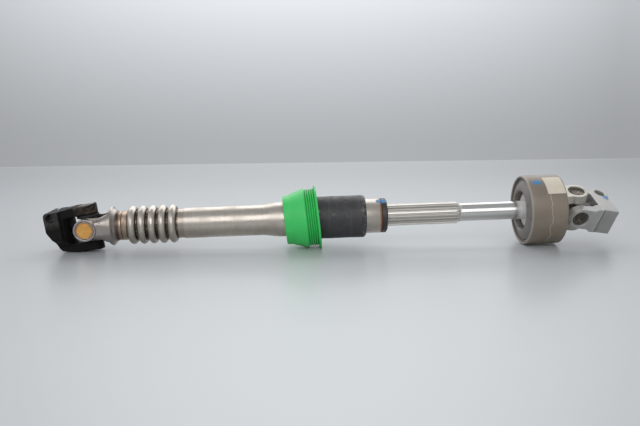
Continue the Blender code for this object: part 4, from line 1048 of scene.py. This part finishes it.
def lower_yoke_mesh():
    outer, ear, inner = LOWER_EAR, LOWER_CLAMP_EAR_RADIUS, LOWER_EAR_INNER
    side = [
        (ear, -outer), (ear, outer), (-ear, outer), (-19.6, 17.3), (-29.4, 17.3), (-30.9, 15.7), (-31.4, 13.0),
        (-31.4, 2.2), (-26.6, -6.2), (-25.7, -8.0), (-25.2, -12.8), (-23.0, -15.4), (-ear, -outer),
    ]
    width = 14.5
    base = prism(side, "XZ", -width, width)
    plan = [(-31.4, 13.5), (-30.4, width), (-19.6, width), (-18.1, 11.5), (-11.4, ear)]
    plan += arc((0.0, 0.0), ear, 90, 0, ROUND_STEPS)
    front = [(width, BEYOND), (width, -4.67), (12.5, -7.0), (ear, -12.0), (ear, -BEYOND)]
    front_outline = front + [(-y, z) for y, z in reversed(front)]
    crown = 19.4
    turn = math.degrees(math.acos(ear / crown))
    top = [(BEYOND, 17.53)] + arc((0.0, 0.0), crown, turn, 180 - turn, ROUND_STEPS) + [(-BEYOND, 17.53)]
    crowned = top + [(y, -z) for y, z in reversed(top)]
    room = [(-x, y) for x, y in reversed(swing_space(LOWER_EAR_RADIUS, inner, outer))]
    slit = [(-SLIT_HALF, 0.0), (SLIT_HALF, 0.0), (SLIT_HALF, BEYOND), (-SLIT_HALF, BEYOND)]
    lip = [(-14.6, -3.8), (-11.4, -3.8), (-11.4, 3.8), (-14.6, 3.8)]
    bolt = (-25.6, 12.8)
    steps = [
        ("INTERSECT", prism(mirrored(plan), "XY", -BEYOND, BEYOND)),
        ("INTERSECT", prism(front_outline, "YZ", -BEYOND, BEYOND)),
        ("INTERSECT", prism(crowned, "YZ", -BEYOND, BEYOND)),
        ("DIFFERENCE", prism(room, "XY", -inner, inner)),
        ("DIFFERENCE", rod(CLAMP_BORE, "X", -BEYOND, 0.0)),
        ("UNION", prism(lip, "XY", -11.2, 11.2)),
        ("DIFFERENCE", rod(4.5, "X", -BEYOND, 0.0, segments=48)),
        ("DIFFERENCE", prism(slit, "YZ", -BEYOND, -14.9)),
        ("DIFFERENCE", rod(TAPPED_HOLE, "Y", -BEYOND, 0.0, bolt, 48)),
        ("DIFFERENCE", rod(BOLT_HOLE, "Y", 0.0, BEYOND, bolt, 48)),
        ("DIFFERENCE", rod(LOWER_CUP_BORE, "Z", -BEYOND, BEYOND)),
    ]
    return carved(base, steps, 0.34, 4)


clamp = lower_yoke_mesh()
finish_mesh(
    "black_clamp_yoke", clamp, LOWER, "lower_yoke", "black", 60, "lower_clamp_yoke"
)
boot = softened([(8.0, 5.9), (8.0, 8.3), (8.7, 8.9), (10.4, 8.9), (10.4, 5.9)], 0.4)
for side, turn in (("top", "+Z"), ("bottom", "-Z")):
    matrix = LOWER @ TURNS[turn]
    finish_mesh(f"grease_boot_{side}", turned_mesh(boot, 72), matrix, "lower_cross_set", "bonded", 40)


# Upper clamp yoke


def upper_yoke_mesh():
    outer, inner, ear, height, end = UPPER_EAR, UPPER_EAR_INNER, UPPER_EAR_RADIUS, 11.0, 30.8
    bolt = (26.4, 12.0)
    side = arc((0.0, 0.0), ear, 180, 90, ROUND_STEPS)
    side += [(9.9, ear), (12.5, height), (33.6, height)]
    base = prism(mirrored(side), "XZ", -outer, 19.2)
    plan = [
        (-ear, -outer + 2.6), (-ear + 2.6, -outer), (17.3, -outer), (17.7, -outer + 0.6), (end, -outer + 0.6),
        (end, 4.8),
    ]
    plan += arc(bolt, 7.2, -30, 120, 30)
    plan += [(12.8, outer), (-ear + 2.6, outer), (-ear, outer - 2.6)]
    throat = [(-BEYOND, inner)] + arc((12.8, inner - 3.0), 3.0, 90, 0, 10)
    slit = mirrored([(0.0, SLIT_HALF), (BEYOND, SLIT_HALF)])
    steps = [
        ("INTERSECT", prism(plan, "XY", -BEYOND, BEYOND)),
        ("DIFFERENCE", prism(mirrored(throat), "XY", -BEYOND, BEYOND)),
        ("DIFFERENCE", rod(8.3, "X", 0.0, BEYOND)),
        ("DIFFERENCE", prism(slit, "XZ", 0, BEYOND)),
        ("DIFFERENCE", rod(BOLT_HOLE, "Z", 0.0, BEYOND, bolt, 48)),
        ("DIFFERENCE", rod(TAPPED_HOLE, "Z", -BEYOND, 0.0, bolt, 48)),
        ("DIFFERENCE", rod(UPPER_CUP_BORE, "Y", -BEYOND, BEYOND)),
    ]
    return carved(base, steps, 0.30, 2)


block = upper_yoke_mesh()
finish_mesh(
    "aluminium_clamp_yoke", block, CLAMP, "upper_yoke", "block", 50, "upper_clamp_yoke"
)


# CAD nodes that stay: crosses, needles, seals and the liner


def dress(node, material, bevel=0.0):
    obj = NODES[node]
    obj.data.materials.clear()
    obj.data.materials.append(MATERIALS[material])
    if bevel:
        modifier = obj.modifiers.new("soft edges", "BEVEL")
        modifier.width = bevel * MM
        modifier.segments = 2
        modifier.limit_method = "ANGLE"
        modifier.angle_limit = math.radians(40)


# The lower cross takes the near-black of painted shade.
for prefix, steel in (("lower", "shaded_dark"), ("upper", "cross")):
    dress(f"{prefix}_cross", steel, 0.3)
    for side in ("front", "rear", "top", "bottom"):
        dress(f"{prefix}_needles_{side}", "needles")
        dress(f"{prefix}_seal_{side}", "rubber")
dress("spline_liner", "nylon")


# Floor, backdrop, lights and camera


def stage_plane(name, corners, material):
    mesh = bpy.data.meshes.new(name)
    mesh.from_pydata(corners, [], [tuple(range(len(corners)))])
    mesh.materials.append(material)
    obj = added(name, mesh)


def table_finish():
    """The pale table, with the lamps' fall-off painted on: a little darker towards its far edge and its sides.
    """
    made = Finish("table", (0.560, 0.580, 0.592), 0.0, 0.30, packed=True, Specular_IOR_Level=0.30)
    x, y = made.axis(0), made.axis(1)
    # Painted fall-off of light towards the far edge.
    made.mottle(y, 0.10, 0.62, 0.26, (0.0, 0.0, 0.0))
    # Painted fall-off of light towards the sides, in a fan that widens with distance.
    depth = made.math("MAXIMUM", made.math("ADD", y, 0.57), 0.2)
    off = made.math("SUBTRACT", made.math("ADD", x, 0.04), made.times(depth, 0.06))
    share = made.math("DIVIDE", off, made.times(depth, 0.46))
    square = made.math("MULTIPLY", share, share, True)
    made.paint(square, (0.0, 0.0, 0.02), 0.21)
    return made.done()


def backdrop_finish():
    """The wall far behind, a glowing plane painted to look lit from above, so that it darkens downwards and to
    its sides.
    """
    made = Finish("backdrop", (0.0, 0.0, 0.0), 0.0, 1.0, packed=True, Specular_IOR_Level=0.0)
    x, z = made.axis(0), made.axis(2)
    height = made.span(z, -0.172, 0.585, 0.0, 1.0, False)
    light = made.math("ADD", made.times(made.math("POWER", height, 1.5), 0.39), 0.45)
    off = made.math("DIVIDE", made.math("SUBTRACT", x, 0.037), 1.731)
    square = made.math("MULTIPLY", off, off, True)
    loss = made.math("ADD", made.times(height, 0.17), 0.20)
    # Painted light: the glow is brighter upwards and towards the middle.
    level = made.times(light, made.math("SUBTRACT", 1.0, made.times(square, loss)))
    made.shader.inputs["Emission Color"].default_value = (0.965, 1.0, 1.045, 1.0)
    made.feed(made.shader.inputs["Emission Strength"], level)
    return made.done()


stage_plane("table", [(-4, -3, 0), (4, -3, 0), (4, 0.903, 0), (-4, 0.544, 0)], table_finish())
stage_plane("backdrop", [(-7, 3.2, -1.5), (7, 3.2, -1.5), (7, 3.2, 5.0), (-7, 3.2, 5.0)], backdrop_finish())


def area_lamp(name, place, target, width, height, power):
    data = bpy.data.lights.new(name, "AREA")
    data.shape = "RECTANGLE"
    data.size = width
    data.size_y = height
    data.energy = power
    lamp = added(name, data)
    lamp.location = place
    lamp.rotation_mode = "QUATERNION"
    lamp.rotation_quaternion = (Vector(target) - Vector(place)).to_track_quat("-Z", "Y")


area_lamp("rear_softbox", (-0.05, 0.92, 0.88), (0.0, 0.0, 0.0), 2.3, 1.1, 11.0)
area_lamp("front_softbox", (-0.10, -1.06, 0.64), (0.0, 0.0, 0.03), 1.6, 0.72, 6.0)
area_lamp("left_fill", (-1.3, -0.4, 0.75), (0.0, 0.0, 0.02), 0.7, 0.7, 1.5)

world = bpy.data.worlds.new("studio")
world.use_nodes = True
sky = world.node_tree.nodes["Background"].inputs
sky["Color"].default_value = (0.94, 0.97, 1.0, 1.0)
sky["Strength"].default_value = 0.5
bpy.context.scene.world = world

camera_data = bpy.data.cameras.new("photo_camera")
camera_data.sensor_width = 36.0
camera_data.lens = 39.247
camera_data.clip_start = 0.01
camera_data.clip_end = 50.0
camera = added("photo_camera", camera_data)
yaw, pitch, roll = math.radians(2.751), math.radians(-9.682), math.radians(-0.283)
forward = Vector((math.sin(yaw) * math.cos(pitch), math.cos(yaw) * math.cos(pitch), math.sin(pitch)))
right = Vector((math.cos(yaw), -math.sin(yaw), 0.0))
up = right.cross(forward)
camera.matrix_world = axes_frame(
    (-0.04028, -0.56634, 0.12520),
    x=right * math.cos(roll) + up * math.sin(roll),
    y=up * math.cos(roll) - right * math.sin(roll),
)
bpy.context.scene.camera = camera
bpy.context.scene.view_settings.view_transform = "Standard"
